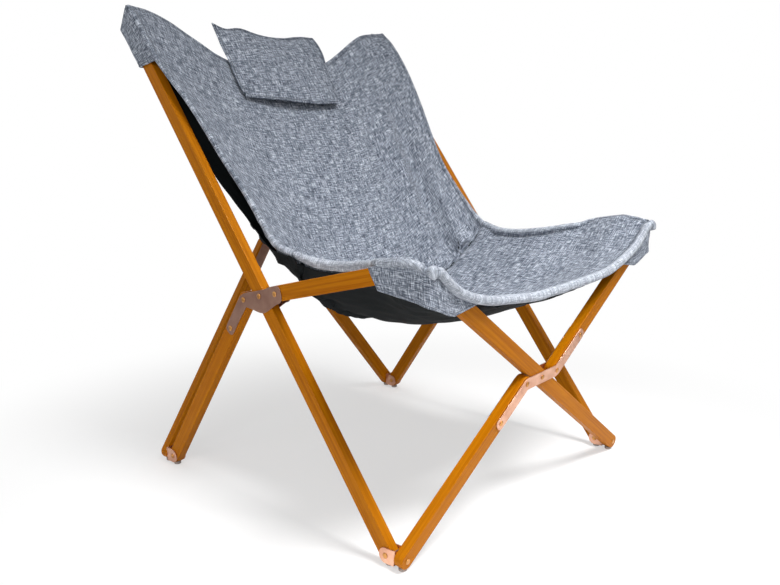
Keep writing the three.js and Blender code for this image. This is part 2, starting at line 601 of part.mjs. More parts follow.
// A panel: each section runs from the middle line up to both edges by the share that `crown` gives.
function panel(edge, middle, crown) {
  return (u, v) => {
    const side = 1 - 2 * u;
    const rim = edge.getPointAt(v);
    const lift = crown(Math.abs(side), v);
    const point = middle.getPointAt(v).lerp(new THREE.Vector3(0, rim.y, rim.z), lift);
    return point.setX(side * rim.x);
  };
}

// The back rises by a power of the distance out, flat at its edges except at the crease, and near its
// top edge by an S with flat corners.
function backCrown(out, down) {
  const flatCorner = 0.75 * Math.exp(-((down / 0.16) ** 2));
  const rise = Math.min(1, out / (1 - CROWN_FLAT * (1 - down))) ** CROWN_POWER;
  return THREE.MathUtils.lerp(rise, THREE.MathUtils.smoothstep(out, 0.27, 0.91), flatCorner);
}

// The seat rises by a power that grows towards its front edge.
function seatCrown(out, ahead) {
  return out ** THREE.MathUtils.lerp(CROWN_POWER, CROWN_POWER_FRONT, ahead * ahead);
}

const backPanel = panel(
  stretch(edgePoints, 0, CREASE_IN_EDGE),
  stretch(middlePoints, 0, CREASE_IN_MIDDLE),
  backCrown,
);
const seatPanel = panel(
  stretch(edgePoints, CREASE_IN_EDGE, edgePoints.length - 1),
  stretch(middlePoints, CREASE_IN_MIDDLE, middlePoints.length - 1),
  seatCrown,
);
const backSurface = (u, v) => backPanel(u, v * (1 - CREASE_SHARE));
const seatSurface = (u, v) => seatPanel(u, CREASE_SHARE + v * (1 - CREASE_SHARE));
mesh("sling_back", clothGeometry(backSurface, 16, 15, SLING_THICKNESS), FABRIC, chair);
mesh("sling_seat", clothGeometry(seatSurface, 16, 15, SLING_THICKNESS), FABRIC, chair);

// Corner pockets

// A point at a share of the way along a line of points, with each leg given the same share.
function alongLegs(points, share) {
  const legs = points.length - 1;
  const leg = Math.min(Math.floor(share * legs), legs - 1);
  return points[leg].clone().lerp(points[leg + 1], share * legs - leg);
}

const pocketSide = outerEdge + POCKET_THICKNESS / 2;
const pocketFront = BAR_END + FABRIC_GAP + POCKET_THICKNESS / 2;

// Where a back bar's end is beside the post: how far out, and how far behind the post's axis its
// round end reaches.
const backSplitAngle = backAngle + Math.asin(JOG / Math.hypot(HALF_WIDTH, BACK_CROSSING_RISE));
const backEndOut = JOG * Math.sin(backSplitAngle) + backTopReach * Math.cos(backSplitAngle);
const backEndRise = BACK_CROSSING_RISE + backTopReach * Math.sin(backAngle);
const backEndDepth =
  2 * HALF_FOOT_DEPTH + BRACKET_REACH / Math.cos(BACK_LEAN) + backEndRise * Math.sin(BACK_LEAN);
const backEndBehind =
  backEndDepth * Math.sin(postAngle) - backEndRise * Math.cos(BACK_LEAN) * Math.cos(postAngle);
const pocketRear = -backEndBehind - BAR_END - BAR_THICKNESS / 2 - 2 * POCKET_THICKNESS;
const pocketReach = backEndOut + BAR_END / 2;

// A back pocket is a sleeve over the post's top end, open below and towards the middle, where the
// back bar's end comes in. x is the distance from the middle plane and y the distance ahead of the post.
function backPocketGeometry(sign) {
  const wall = (u, v) => {
    const front = THREE.MathUtils.lerp(PANEL_AHEAD_TOP, PANEL_AHEAD, v) - underPanel;
    const path = [
      new THREE.Vector2(pocketSide, front),
      new THREE.Vector2(pocketSide, pocketFront - BACK_POCKET_DEPTH),
      new THREE.Vector2((pocketSide + pocketReach) / 2, pocketRear),
      new THREE.Vector2(pocketReach, pocketRear),
    ];
    const point = alongLegs(path, sign > 0 ? u : 1 - u);
    const mouth = backPocketEnd + BACK_MOUTH_SLANT * (front - point.y);
    return besidePost(THREE.MathUtils.lerp(pocketTopAt(point.y), mouth, v), point.y).setX(sign * point.x);
  };
  const lid = (u, v) => {
    const x = THREE.MathUtils.lerp(innerEdge, pocketSide, sign > 0 ? u : 1 - u);
    const ahead = THREE.MathUtils.lerp(PANEL_AHEAD_TOP - underPanel, pocketFront - BACK_POCKET_DEPTH, v);
    return besidePost(pocketTopAt(ahead) + POCKET_THICKNESS / 2 - SEAM_GAP, ahead).setX(sign * x);
  };
  return joined([
    clothGeometry(wall, 9, 3, POCKET_THICKNESS),
    clothGeometry(lid, 2, 2, POCKET_THICKNESS),
  ]);
}

// A seat pocket covers the rail's front end from above and outside, and the front bar's top end
// from in front.
function seatPocketGeometry(sign) {
  const path = [
    new THREE.Vector2(innerEdge + SEAM_GAP + SEAT_SEAM_STEP * SLING_THICKNESS, pocketFront),
    new THREE.Vector2(pocketSide, pocketFront),
    new THREE.Vector2(pocketSide, -BAR_END - SEAT_POCKET_DROP),
  ];
  const cover = (u, v) => {
    const point = alongLegs(path, sign > 0 ? u : 1 - u);
    const out = railTip - SEAT_POCKET_LENGTH + v * (SEAT_POCKET_LENGTH + SEAT_POCKET_NOSE);
    return besideRail(out, point.y).setX(sign * point.x);
  };
  const face = PLATE_FACE + FABRIC_GAP + POCKET_THICKNESS / 2;
  const slope = FRONT_CROSSING_RISE / HALF_WIDTH;
  const front = (u, v) => {
    const reach = THREE.MathUtils.lerp(pocketSide - SEAT_POCKET_FRONT, pocketSide, sign > 0 ? 1 - u : u);
    const share = Math.max(0, 0.5 - reach / innerEdge / 2);
    const seatUnderside = seatPanel(share, 1 - FRONT_WALL_INSET).z - SLING_THICKNESS - SEAM_GAP;
    const top = (seatUnderside - PIVOT_HEIGHT) / Math.cos(FRONT_LEAN);
    const bottom = FRONT_CROSSING_RISE + reach * slope - SEAT_POCKET_UNDER;
    const rise = THREE.MathUtils.lerp(top, bottom, v);
    return frontPlane.localToWorld(new THREE.Vector3(sign * reach, rise, face));
  };
  return joined([
    clothGeometry(cover, 4, 4, POCKET_THICKNESS),
    clothGeometry(front, 6, 3, POCKET_THICKNESS),
  ]);
}

chair.updateMatrixWorld(true);
for (const [side, sign] of [["right", -1], ["left", 1]]) {
  mesh(`pocket_back_${side}`, backPocketGeometry(sign), FABRIC, chair);
  mesh(`pocket_seat_${side}`, seatPocketGeometry(sign), FABRIC, chair);
}

// Head pillow: thin, crowned in the middle, its sides drawn in between the corners

const pillowPlace = backTop - PILLOW_DROP;
const pillowAhead = (SLING_THICKNESS + PILLOW_THICKNESS) / 2 - TOP_SAG;

function pillowSurface(u, v) {
  const [across, up] = [1 - 2 * u, 1 - 2 * v];
  const x = (across * (1 - PILLOW_SIDE_DRAW * (1 - up * up)) * PILLOW_WIDTH) / 2;
  const rise = (up * (1 - PILLOW_SIDE_DRAW * (1 - across * across)) * PILLOW_HEIGHT) / 2;
  return besidePost(pillowPlace + rise, pillowAhead).setX(x);
}

function pillowThickness(u, v) {
  const crown = (Math.sin(Math.PI * u) * Math.sin(Math.PI * v)) ** 0.6;
  return PILLOW_HEM + (PILLOW_THICKNESS - PILLOW_HEM) * crown;
}

mesh("pillow", clothGeometry(pillowSurface, 12, 9, pillowThickness), FABRIC, chair);

export default chair;
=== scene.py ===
"""Folding butterfly sling chair: the finish of its frame and its fabric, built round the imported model.

Metres, +Z up. The sitter faces -Y and the sitter's right hand is at -X.
"""
import json
import math

import bmesh
import bpy
import numpy as np
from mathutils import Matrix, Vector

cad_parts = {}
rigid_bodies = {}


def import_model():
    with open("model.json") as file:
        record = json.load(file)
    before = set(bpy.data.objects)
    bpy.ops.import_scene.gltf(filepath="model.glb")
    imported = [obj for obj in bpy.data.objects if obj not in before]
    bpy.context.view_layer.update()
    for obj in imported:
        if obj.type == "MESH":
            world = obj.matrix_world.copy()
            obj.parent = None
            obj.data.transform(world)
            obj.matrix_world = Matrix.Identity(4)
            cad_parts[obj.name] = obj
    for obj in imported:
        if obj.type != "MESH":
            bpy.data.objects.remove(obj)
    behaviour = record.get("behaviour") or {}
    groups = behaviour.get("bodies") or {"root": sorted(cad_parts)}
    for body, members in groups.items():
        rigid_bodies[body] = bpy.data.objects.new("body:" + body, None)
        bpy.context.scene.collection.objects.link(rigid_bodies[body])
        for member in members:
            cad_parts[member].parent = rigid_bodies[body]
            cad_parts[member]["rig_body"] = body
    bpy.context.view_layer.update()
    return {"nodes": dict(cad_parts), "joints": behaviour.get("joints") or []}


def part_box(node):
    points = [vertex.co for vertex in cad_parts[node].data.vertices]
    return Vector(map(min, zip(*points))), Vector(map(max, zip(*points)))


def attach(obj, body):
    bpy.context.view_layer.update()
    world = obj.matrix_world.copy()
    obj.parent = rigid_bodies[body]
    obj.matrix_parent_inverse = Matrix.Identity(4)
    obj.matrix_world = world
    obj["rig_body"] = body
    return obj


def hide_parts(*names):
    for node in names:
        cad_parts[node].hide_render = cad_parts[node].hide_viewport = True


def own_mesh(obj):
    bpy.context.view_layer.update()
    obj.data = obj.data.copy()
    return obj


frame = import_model()

UP = np.array([0.0, 0.0, 1.0])
LEFT = np.array([1.0, 0.0, 0.0])

# Camera, as the photograph was taken
CAMERA_PLACE = (-1.1782, -1.0706, 0.6713)
CAMERA_YAW = math.radians(47.75)
CAMERA_PITCH = math.radians(12.18)
CAMERA_LENS_MM = 39.21
SENSOR_MM = 36.0

# Light and floor
WORLD_LIGHT = 0.4
FLOOR_GLOW = 0.5
FLOOR_RADIUS = 9
FLOOR_SIDES = 64
FLOOR_LEVEL = -0.0002
FADE_START = 0.35
FADE_END = 1.05

# Wooden bars and copper fittings
BAR_ROUNDING = 0.0012
FLAT_BORDER = 0.0004
END_STEPS = 18
RIM_STEPS = 4
GRAIN_SHIFT = np.array([0.37, 0.11, 0.05])
PLATE_WIDTH = 0.021
PLATE_ROUNDING = 0.00045
PLATE_END_POWER = 0.7
PLATE_BEND = 0.006
ELBOW_RIVET_PITCH = 0.067
CROSS_RIVET_PITCH = 0.082
ELBOW_BULGE = 0.0165
ELBOW_NOSE = 0.0025
HEAD_RADIUS = 0.0046
HEAD_HEIGHT = 0.0014
HEAD_DOME = 0.75 * HEAD_HEIGHT
HEAD_TAPER = 0.97
RIVET_STAND = 0.0003
SHANK_RADIUS = 0.0026
GLIDE_ROUNDING = 0.0012
TURN_STEPS = 32
OFF_AXIS = [0.31, 0.52, 0.79]

# Hems of the sling
PANEL_HALF_THICKNESS = 0.0035
HEM_RADIUS = 0.009
RAIL_HEM_RADIUS = 0.0065
CREASE_HEM_RADIUS = 0.0062
BACK_HEM_RADIUS = 0.0045
TOP_HEM_RADIUS = 0.0045
CREASE_RADIUS = 0.004
FRONT_HEM_RADIUS = 0.0075
HEM_FALL = 0.012
HEM_GROOVE = 0.4
GROOVE_MIDDLE = 2.1
GROOVE_WIDTH = 0.36
# Hem radius over which the painted highlight on the rolled hems comes in
ROLL_HIGHLIGHT_RANGE = 0.003
GROOVE_PLACES = [1.2, 1.45, 1.7, 1.95, 2.2, 2.5]
GRID_STEP = 0.006
HALF_SPAN = 0.33

# Sling lines. Upper back: out, up the post, ahead of it. Others: out, behind and above the crossings
TOP_UP = 1.035
TOP_EDGE_DIP = 0.085
TOP_SAG = 0.019
CROWN_POWER = 2.2
CREASE_EDGE = (0.266, -0.021, 0.068)
CREASE_MIDDLE = (0.0, 0.025, -0.076)
BACK_EDGE = [
    (0.3295, TOP_UP, 0.0260), (0.3310, 1.000, 0.0330), (0.3315, 0.950, 0.0362), (0.3295, 0.910, 0.0362),
    (0.3240, 0.880, 0.0370), (0.3110, 0.820, 0.0385), (0.3020, 0.760, 0.0380), (0.2960, 0.700, 0.0385),
    (0.2875, 0.620, 0.0410), (0.2825, 0.550, 0.0415)]
BACK_EDGE_LOW = (0.2810, 0.011, 0.084)
BACK_MIDDLE = [
    (0, TOP_UP - TOP_EDGE_DIP, -TOP_SAG), (0, 0.840, -TOP_SAG - 0.005), (0, 0.690, -TOP_SAG - 0.017),
    (0, 0.540, -TOP_SAG - 0.037)]
SEAT_EDGE = [
    (0.2580, -0.069, 0.059), (0.2555, -0.114, 0.060), (0.2580, -0.159, 0.067), (0.2720, -0.194, 0.074),
    (0.2970, -0.224, 0.082), (0.3195, -0.251, 0.088), (0.3265, -0.279, 0.094), (0.3275, -0.309, 0.0985),
    (0.3275, -0.334, 0.099), (0.3275, -0.354, 0.094), (0.3270, -0.369, 0.088)]
SEAT_MIDDLE = [(0, -0.080, -0.078), (0, -0.185, -0.056), (0, -0.280, -0.022), (0, -0.367, 0.015)]

# Folds of the sling
SWELLS = [(0.0016, 0.16, 14), (0.0006, 0.055, 18)]  # height, wavelength, count of waves
PUCKER_LENGTHS = (0.031, 0.043, 0.067, 0.092)
PUCKER_START = 0.012
PUCKER_REACH = 0.035
UPRIGHT_FOLDS = [  # place across, width, depth
    (0.12, 0.020, 0.009), (0.165, 0.016, -0.008), (0.205, 0.018, 0.012), (0.245, 0.014, -0.008)]
UPRIGHT_LEAN = 0.12
HEM_PLEATS = [0.075, 0.105, 0.030]
NEAR_HEM = -0.29
PLEAT_DEPTH = 0.006
PLEAT_WIDTH = 0.006
PLEAT_LENGTH = 0.045
PLEAT_LEAN = 0.5
BACK_GATHERS = (0.0028, 0.052, 1.3, 0.05)  # height, wavelength, phase, reach
SEAT_GATHERS = (0.0026, 0.058, 0.4, 0.045)
CREASE_TUCK = 0.010
CREASE_REACH = 0.010
LEFT_CORNER_DROP = 0.011
LEFT_EDGE_BACK = 0.012
LEFT_EDGE_IN = 0.007

# The seat over its rails
WRAP_DROP = 0.011
WRAP_REACH = 0.016
RAIL_HALF_HEIGHT = 0.013
RAIL_RUN = 0.2
RAIL_FRONT_RUN = 0.04
RAIL_CLEARANCE = 0.0005
RAIL_INNER_MARGIN = 0.001
RAIL_OUTER_MARGIN = 0.002
RAIL_FALL = 0.95
RAIL_OUTER_FALL = 2
RAIL_BLEND = 0.003
BAR_END_DEPTH = 0.006

# Lining
LINING_GAP = 0.0035 + PANEL_HALF_THICKNESS
LINING_HALF_THICKNESS = 0.0006
LINING_EDGE = 0.003
LINING_FOLDS = 0.0016
LINING_DEPTH = 0.030
LINING_TOP_GAP = 0.015
LINING_UNDER_SEAT = np.array([0.0, -0.012, -0.005])
LINING_CORNER_DEPTH = 0.026
LINING_HALF_WIDTH = 0.3015

# Corner pockets
POCKET_HALF_THICKNESS = 0.0011
POCKET_HEM = 0.0021
POCKET_SIDE = 0.3268
POCKET_TUCK = 0.005
FRONT_LEAN = math.radians(6)
SEAT_POCKET_BACK_Y = -0.2501
SEAT_POCKET_FRONT_Y = -0.3708
SEAT_POCKET_LEAN_Z = 0.445
SEAT_POCKET_CORNER = 0.016
SEAT_POCKET_END_X = 0.2147
SEAT_POCKET_SLANT = 0.023
SEAT_POCKET_UNEVEN = 0.0014
SEAT_POCKET_TOP = (  # lengths along the wall, heights
    [0, 0.030, 0.066, 0.093, 0.115, 0.125, 0.135, 0.165, 0.190, 0.224],
    [0.4515, 0.4600, 0.4665, 0.470, 0.469, 0.463, 0.455, 0.441, 0.426, 0.398])
SEAT_POCKET_BOTTOM = (
    [0.023, 0.100, 0.132, 0.160, 0.172, 0.224],
    [0.422, 0.414, 0.404, 0.392, 0.389, 0.398])
KNOT_PLACE = 0.108
KNOT_HEIGHT = 0.470
KNOT_RADIUS = 0.012
KNOT_REACH = 0.03
KNOT_PLEATS = 11
KNOT_PLEAT_HEIGHT = 0.0026
BACK_POCKET_RISE = 0.0030
BACK_POCKET_LENGTH = 0.1025
BACK_POCKET_DEPTH = 0.048
BACK_POCKET_REAR = -0.0185
BACK_MOUTH_REAR = -0.0150
BACK_POCKET_HEM_X = 0.316
BACK_POCKET_INNER_X = 0.300
BACK_POCKET_INNER_DEPTH = -0.004
BACK_POCKET_BEND = 0.003
BACK_POCKET_GAP = 0.0015
BACK_POCKET_UNEVEN = 0.0012
BACK_POCKET_SLOPES = {"right": 0.45, "left": 0.0}
BACK_MOUTH_SLOPE = -0.5

# Head pillow: its edge lines go across and up from its middle
PIPING = 0.0021
PILLOW_STEP = 0.004
PILLOW_HALF_FILL = 0.0075
PILLOW_RISE = 0.022
PILLOW_PRESSURE = 3
PILLOW_FRAMES = 20
PILLOW_MOVE_LIMIT = 0.005
PILLOW_UNEVEN = 0.0008
PILLOW_TOP = [
    (-0.125, 0.096), (-0.102, 0.084), (-0.063, 0.087), (-0.034, 0.078), (0.025, 0.069), (0.099, 0.077),
    (0.131, 0.077)]
PILLOW_BOTTOM = [(-0.131, -0.084), (-0.051, -0.092), (0.040, -0.100), (0.106, -0.100)]
PILLOW_LEFT = [(-0.131, -0.084), (-0.136, -0.059), (-0.131, 0.004), (-0.130, 0.043), (-0.125, 0.096)]
PILLOW_RIGHT = [(0.106, -0.100), (0.128, 0.001), (0.137, 0.058), (0.131, 0.077)]

joints = {joint["name"]: joint for joint in frame["joints"]}


def pivot(joint):
    """Place of a joint."""
    return np.array(joints[joint]["pos_m"])


def unit(vectors):
    """The same vectors, each one long."""
    return vectors / np.maximum(np.linalg.norm(vectors, axis=-1, keepdims=True), 1e-12)


def rise(value, start, span):
    """0 up to a start, 1 from a span beyond it, and an even S between."""
    share = np.clip((value - start) / span, 0, 1)
    return share * share * (3 - 2 * share)


def bell(distance, width):
    """A bell curve: 1 at no distance, 0.37 at a width, and soon 0 beyond."""
    return np.exp(-((distance / width) ** 2))


# Measuring the CAD solids


def read(items, field, kind=float):
    """Three values of each item of a mesh, as the rows of an array."""
    values = np.empty(3 * len(items), kind)
    items.foreach_get(field, values)
    return values.reshape(-1, 3)


def corners_of(node):
    """The corners of a CAD node's triangles: triangles x 3 x 3."""
    mesh = frame["nodes"][node].data
    mesh.calc_loop_triangles()
    return read(mesh.vertices, "co")[read(mesh.loop_triangles, "vertices", int)]


def axes_of(node):
    """Middle of a CAD solid, its longest, middling and shortest direction, and its half size along each.

    The directions are the principal axes of its surface: second moments taken at the middles of
    the triangles' edges and weighted by area.
    """
    corners = corners_of(node)
    areas = np.linalg.norm(np.cross(corners[:, 1] - corners[:, 0], corners[:, 2] - corners[:, 0]), axis=1)
    samples = ((corners + np.roll(corners, 1, axis=1)) / 2).reshape(-1, 3)
    weights = np.repeat(areas, 3)
    centre = np.average(samples, axis=0, weights=weights)
    axes = np.linalg.eigh(np.cov(samples.T, aweights=weights))[1][:, ::-1].T
    reach = (corners.reshape(-1, 3) - centre) @ axes.T
    low = reach.min(axis=0)
    high = reach.max(axis=0)
    return centre + (low + high) / 2 @ axes, axes, (high - low) / 2


def body_of(node):
    """The body that a CAD node belongs to."""
    return frame["nodes"][node]["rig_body"]


# Making meshes from arrays of points


def quads(rows, columns, wrap=False):
    """Corner numbers of a grid's quads; `wrap` joins the last column to the first."""
    last = columns if wrap else columns - 1
    row, column = np.meshgrid(np.arange(rows - 1), np.arange(last), indexing="ij")
    here = row * columns + column
    beside = row * columns + (column + 1) % columns
    return np.stack([here, beside, beside + columns, here + columns], axis=-1).reshape(-1, 4)


def outward(points, faces):
    """The quads of a closed shape, turned round if its signed volume is negative."""
    a, b, c, d = (points[faces[:, corner]] for corner in range(4))
    volume = (a * np.cross(b, c)).sum() + (a * np.cross(c, d)).sum()
    return faces if volume > 0 else faces[:, ::-1]


def grid_shape(points, pattern):
    """A closed shape from a grid of points round a form, and the points' places in a material's pattern."""
    rows, columns = points.shape[:2]
    flat = points.reshape(-1, 3)
    return flat, outward(flat, quads(rows, columns, wrap=True)), pattern.reshape(-1, 3)


def two_sided(top, bottom, pattern):
    """A closed shape from its top and bottom grids, which meet along all four edges."""
    rows, columns = top.shape[:2]
    faces = quads(rows, columns)
    points = np.concatenate([top.reshape(-1, 3), bottom.reshape(-1, 3)])
    both = np.concatenate([faces, faces[:, ::-1] + rows * columns])
    flat = pattern.reshape(-1, 3)
    return points, outward(points, both), np.concatenate([flat, flat])


def piece(name, shapes, material, body, nodes=()):
    """One object from closed shapes: their points joined where they meet, riding on a body."""
    starts = np.cumsum([0] + [len(points) for points, _, _ in shapes])
    points = np.concatenate([shape[0] for shape in shapes])
    faces = np.concatenate([shape[1] + start for shape, start in zip(shapes, starts)])
    pattern = np.concatenate([shape[2] for shape in shapes])
    mesh = bpy.data.meshes.new(name)
    mesh.from_pydata(points, [], faces)
    mesh.polygons.foreach_set("use_smooth", np.ones(len(faces), bool))
    mesh.attributes.new("pattern", "FLOAT_VECTOR", "POINT").data.foreach_set("vector", pattern.ravel())
    weld(mesh)
    mesh.materials.append(material)
    made = new_object(name, mesh)
    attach(made, body)
    if nodes:
        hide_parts(*nodes)
    return made


def new_object(name, data):
    """An object in the scene, made of a mesh, a lamp or a camera."""
    made = bpy.data.objects.new(name, data)
    bpy.context.scene.collection.objects.link(made)
    return made


def weld(mesh):
    """Joins the points of a mesh that lie in one place."""
    work = bmesh.new()
    work.from_mesh(mesh)
    bmesh.ops.remove_doubles(work, verts=work.verts, dist=2e-6)
    work.to_mesh(mesh)
    work.free()


# Materials


class Finish:
    """The node tree of a material or world, with short ways to add nodes and join them."""

    def __init__(self, owner, shader="Principled BSDF"):
        owner.use_nodes = True
        self.material = owner
        self.tree = owner.node_tree
        self.shader = self.tree.nodes[shader]

    def add(self, kind, settings=None, **inputs):
        """A node of a kind, with its settings, and inputs by name that are values or other sockets."""
        node = self.tree.nodes.new(kind)
        for name, value in (settings or {}).items():
            setattr(node, name, value)
        for name, value in inputs.items():
            self.feed(node.inputs[name.replace("_", " ")], value)
        return node

    def feed(self, socket, value):
        """Sets a socket to a value, or links another socket to it."""
        if isinstance(value, bpy.types.NodeSocket):
            self.tree.links.new(value, socket)
        else:
            socket.default_value = value

    def shade(self, **inputs):
        """Sets the shader's inputs."""
        for name, value in inputs.items():
            self.feed(self.shader.inputs[name.replace("_", " ")], value)

    def pattern(self):
        """The piece's own pattern coordinates, in metres."""
        return self.add("ShaderNodeAttribute", {"attribute_name": "pattern"}).outputs["Vector"]

    def place(self):
        """The place in the piece, in metres."""
        return self.add("ShaderNodeTexCoord").outputs["Object"]

    def noise(self, vector, scale, detail=2.0, roughness=0.5, distortion=0.0):
        """Soft noise, one feature to each unit of the coordinates once they are scaled each way."""
        scaled = self.add("ShaderNodeMapping", Vector=vector, Scale=scale).outputs["Vector"]
        node = self.add("ShaderNodeTexNoise", Vector=scaled, Scale=1.0, Detail=detail,
                        Roughness=roughness, Distortion=distortion)
        return node.outputs["Fac"]

    def ramp(self, value, stops):
        """Colours by value: stops of (place, colour)."""
        node = self.add("ShaderNodeValToRGB", Fac=value)
        elements = node.color_ramp.elements
        while len(elements) < len(stops):
            elements.new(0.5)
        for element, (place, colour) in zip(elements, stops):
            element.position = place
            element.color = colour
        return node.outputs["Color"]

    def maths(self, operation, first, second=0.0):
        """Two values put together by an operation."""
        node = self.add("ShaderNodeMath", {"operation": operation})
        self.feed(node.inputs[0], first)
        self.feed(node.inputs[1], second)
        return node.outputs["Value"]

    def mixed(self, share, first, second):
        """Two colours mixed by a share."""
        node = self.add("ShaderNodeMix", {"data_type": "RGBA", "blend_type": "MIX"})
        self.feed(node.inputs[0], share)
        self.feed(node.inputs[6], first)
        self.feed(node.inputs[7], second)
        return node.outputs[2]

    def ranged(self, value, low, high):
        """A value of 0 to 1 carried to another range."""
        node = self.add("ShaderNodeMapRange", Value=value, To_Min=low, To_Max=high)
        return node.outputs["Result"]

    def bumped(self, height, depth, strength=1.0):
        """Sets the shader's normal from a height of 0 to 1 that stands for a depth in metres."""
        node = self.add("ShaderNodeBump", Height=height, Distance=depth, Strength=strength)
        self.feed(self.shader.inputs["Normal"], node.outputs["Normal"])


def colour(red, green, blue):
    """A linear colour from the 0 to 255 values of a screen."""
    values = np.array([red, green, blue]) / 255
    linear = np.where(values <= 0.04045, values / 12.92, ((values + 0.055) / 1.055) ** 2.4)
    return (*linear.tolist(), 1.0)


def varnished_wood():
    """Stained wood under thin satin varnish: long grain streaks, fine pores and slow shifts of stain."""
    finish = Finish(bpy.data.materials.new("varnished_wood"))
    place = finish.pattern()
    streaks = finish.noise(place, (5, 260, 260), detail=4, roughness=0.6, distortion=0.4)
    pores = finish.noise(place, (60, 1500, 1500))
    clouds = finish.noise(place, (4, 18, 18))
    grain = finish.ramp(streaks, [
        (0.30, colour(141, 77, 0)), (0.52, colour(170, 102, 3)), (0.75, colour(186, 118, 8))])
    shifted = finish.mixed(finish.ranged(clouds, 0.0, 0.5), grain, colour(160, 91, 1))
    marked = finish.mixed(finish.ranged(pores, -0.25, 0.35), shifted, colour(120, 64, 0))
    finish.shade(Base_Color=marked, Roughness=finish.ranged(streaks, 0.36, 0.5), Specular_IOR_Level=0.05,
                 Coat_Weight=0.05, Coat_Roughness=0.2, Coat_IOR=1.5)
    finish.bumped(streaks, 0.00012)
    return finish.material


def worn_surface(name, fine, slow, dark, light, rough, depth, metallic=0.0):
    """Metal or rubber: fine brushing or pits over its surface, and slow stains or scuffs in its colour.

    `dark` and `light` are the stops of the colour, and `rough` the least and greatest roughness.
    """
    finish = Finish(bpy.data.materials.new(name))
    place = finish.place()
    relief = finish.noise(place, fine)
    stains = finish.noise(place, slow, detail=3)
    tone = finish.ramp(stains, [dark, light])
    finish.shade(Base_Color=tone, Metallic=metallic, Roughness=finish.ranged(relief, *rough))
    finish.bumped(relief, depth)
    return finish.material


def satin_metal(name, dark, light, rough):
    """Brushed satin metal with faint stains."""
    return worn_surface(name, (900, 900, 2400), (45, 45, 45), (0.3, dark), (0.7, light),
                        rough=(rough, rough + 0.14), depth=0.00003, metallic=1.0)


def melange_fabric():
    """Woven grey melange: light and dark yarns that cross.

    Along each way the yarns are noise drawn out along the yarn. The two are added, and to them thick
    slubs of the same kind and slow clouds. Rolled hems, where the pattern's third value is above 0, get
    a painted highlight that makes them lighter, and stitched grooves, where it is below 0, get painted
    shade that makes them darker.
    """
    finish = Finish(bpy.data.materials.new("melange_fabric"))
    place = finish.pattern()
    warp = finish.noise(place, (700, 66, 0), detail=3, roughness=0.55)
    weft = finish.noise(place, (66, 700, 0), detail=3, roughness=0.55)
    yarn = finish.maths("MULTIPLY", finish.maths("ADD", warp, weft), 0.5)
    clouds = finish.ranged(finish.noise(place, (24, 24, 0), detail=3), -0.03, 0.03)
    long_slubs = finish.ranged(finish.noise(place, (260, 14, 0)), -0.05, 0.05)
    cross_slubs = finish.ranged(finish.noise(place, (14, 260, 0)), -0.05, 0.05)
    slubs = finish.maths("ADD", long_slubs, cross_slubs)
    level = finish.maths("ADD", finish.maths("ADD", yarn, slubs), clouds)
    tone = finish.ramp(level, [
        (0.355, colour(34, 40, 53)), (0.50, colour(110, 117, 129)), (0.645, colour(206, 212, 222))])
    # Painted light from the pattern's third value: a painted highlight on the rolled hems above 0, and
    # painted shade in the stitched grooves and the pillow's seam groove below 0
    hem = finish.add("ShaderNodeSeparateXYZ", Vector=place).outputs["Z"]
    highlit_hems = finish.mixed(finish.maths("MULTIPLY", hem, 0.23), tone, colour(226, 231, 238))
    shaded_grooves = finish.mixed(finish.maths("MULTIPLY", hem, -0.5), highlit_hems, colour(34, 38, 48))
    finish.shade(Base_Color=shaded_grooves, Roughness=0.95, Specular_IOR_Level=0.1,
                 Sheen_Weight=0.06, Sheen_Roughness=0.5)
    finish.bumped(yarn, 0.0004, 0.5)
    return finish.material


def dark_lining():
    """Black woven lining: fine rows of thread, nearly matt."""
    finish = Finish(bpy.data.materials.new("dark_lining"))
    threads = finish.noise(finish.pattern(), (300, 1600, 1))
    tone = finish.ramp(threads, [(0.3, colour(13, 16, 17)), (0.7, colour(29, 33, 35))])
    finish.shade(Base_Color=tone, Roughness=0.8, Specular_IOR_Level=0.12)
    finish.bumped(threads, 0.0002, 0.6)
    return finish.material


WOOD = varnished_wood()
COPPER = satin_metal("rose_copper", colour(196, 146, 120), colour(222, 176, 150), 0.3)
# Painted shade: a darker copy of the rose copper for the elbow plates and the back crossing's plates, which
# are the same metal as the front plates but lie more in shade
SHADED_COPPER = satin_metal("brown_copper", colour(142, 108, 94), colour(160, 126, 110), 0.36)
BRASS = satin_metal("rivet_brass", colour(176, 124, 70), colour(206, 152, 92), 0.22)
RUBBER = worn_surface("grey_rubber", (1400, 1400, 1400), (160, 160, 160), (0.35, colour(142, 131, 126)),
                      (0.7, colour(172, 160, 152)), rough=(0.75, 0.75), depth=0.0001)
FABRIC = melange_fabric()
LINING = dark_lining()


# Flat pieces with rounded edges: bars and plates


def band_shape(spine, away, half_width, through, half_thickness, rounding, pattern_of):
    """A flat band round its spine. Each column has a spine point, a direction away and a half width.

    Its rows run from the spine over the top face, round the rim by a quarter circle, down the flat
    edge, round another quarter circle, and back to the spine under the bottom face.
    """
    turn = np.linspace(0, math.pi / 2, RIM_STEPS + 1)
    border = rounding + FLAT_BORDER
    inset = np.concatenate([[border], rounding * (1 - np.sin(turn)), [0]])
    height = half_thickness - np.concatenate([[0], rounding * (1 - np.cos(turn)), [border]])
    inset = np.concatenate([inset, inset[::-1]])
    height = np.concatenate([height, -height[::-1]])
    reach = np.broadcast_to(half_width, len(spine)) - inset[:, None]
    reach = np.pad(reach, [(1, 1), (0, 0)])
    height = np.concatenate([height[:1], height, height[-1:]])
    points = spine + away * reach[..., None] + through * height[:, None, None]
    return grid_shape(points, pattern_of(points))


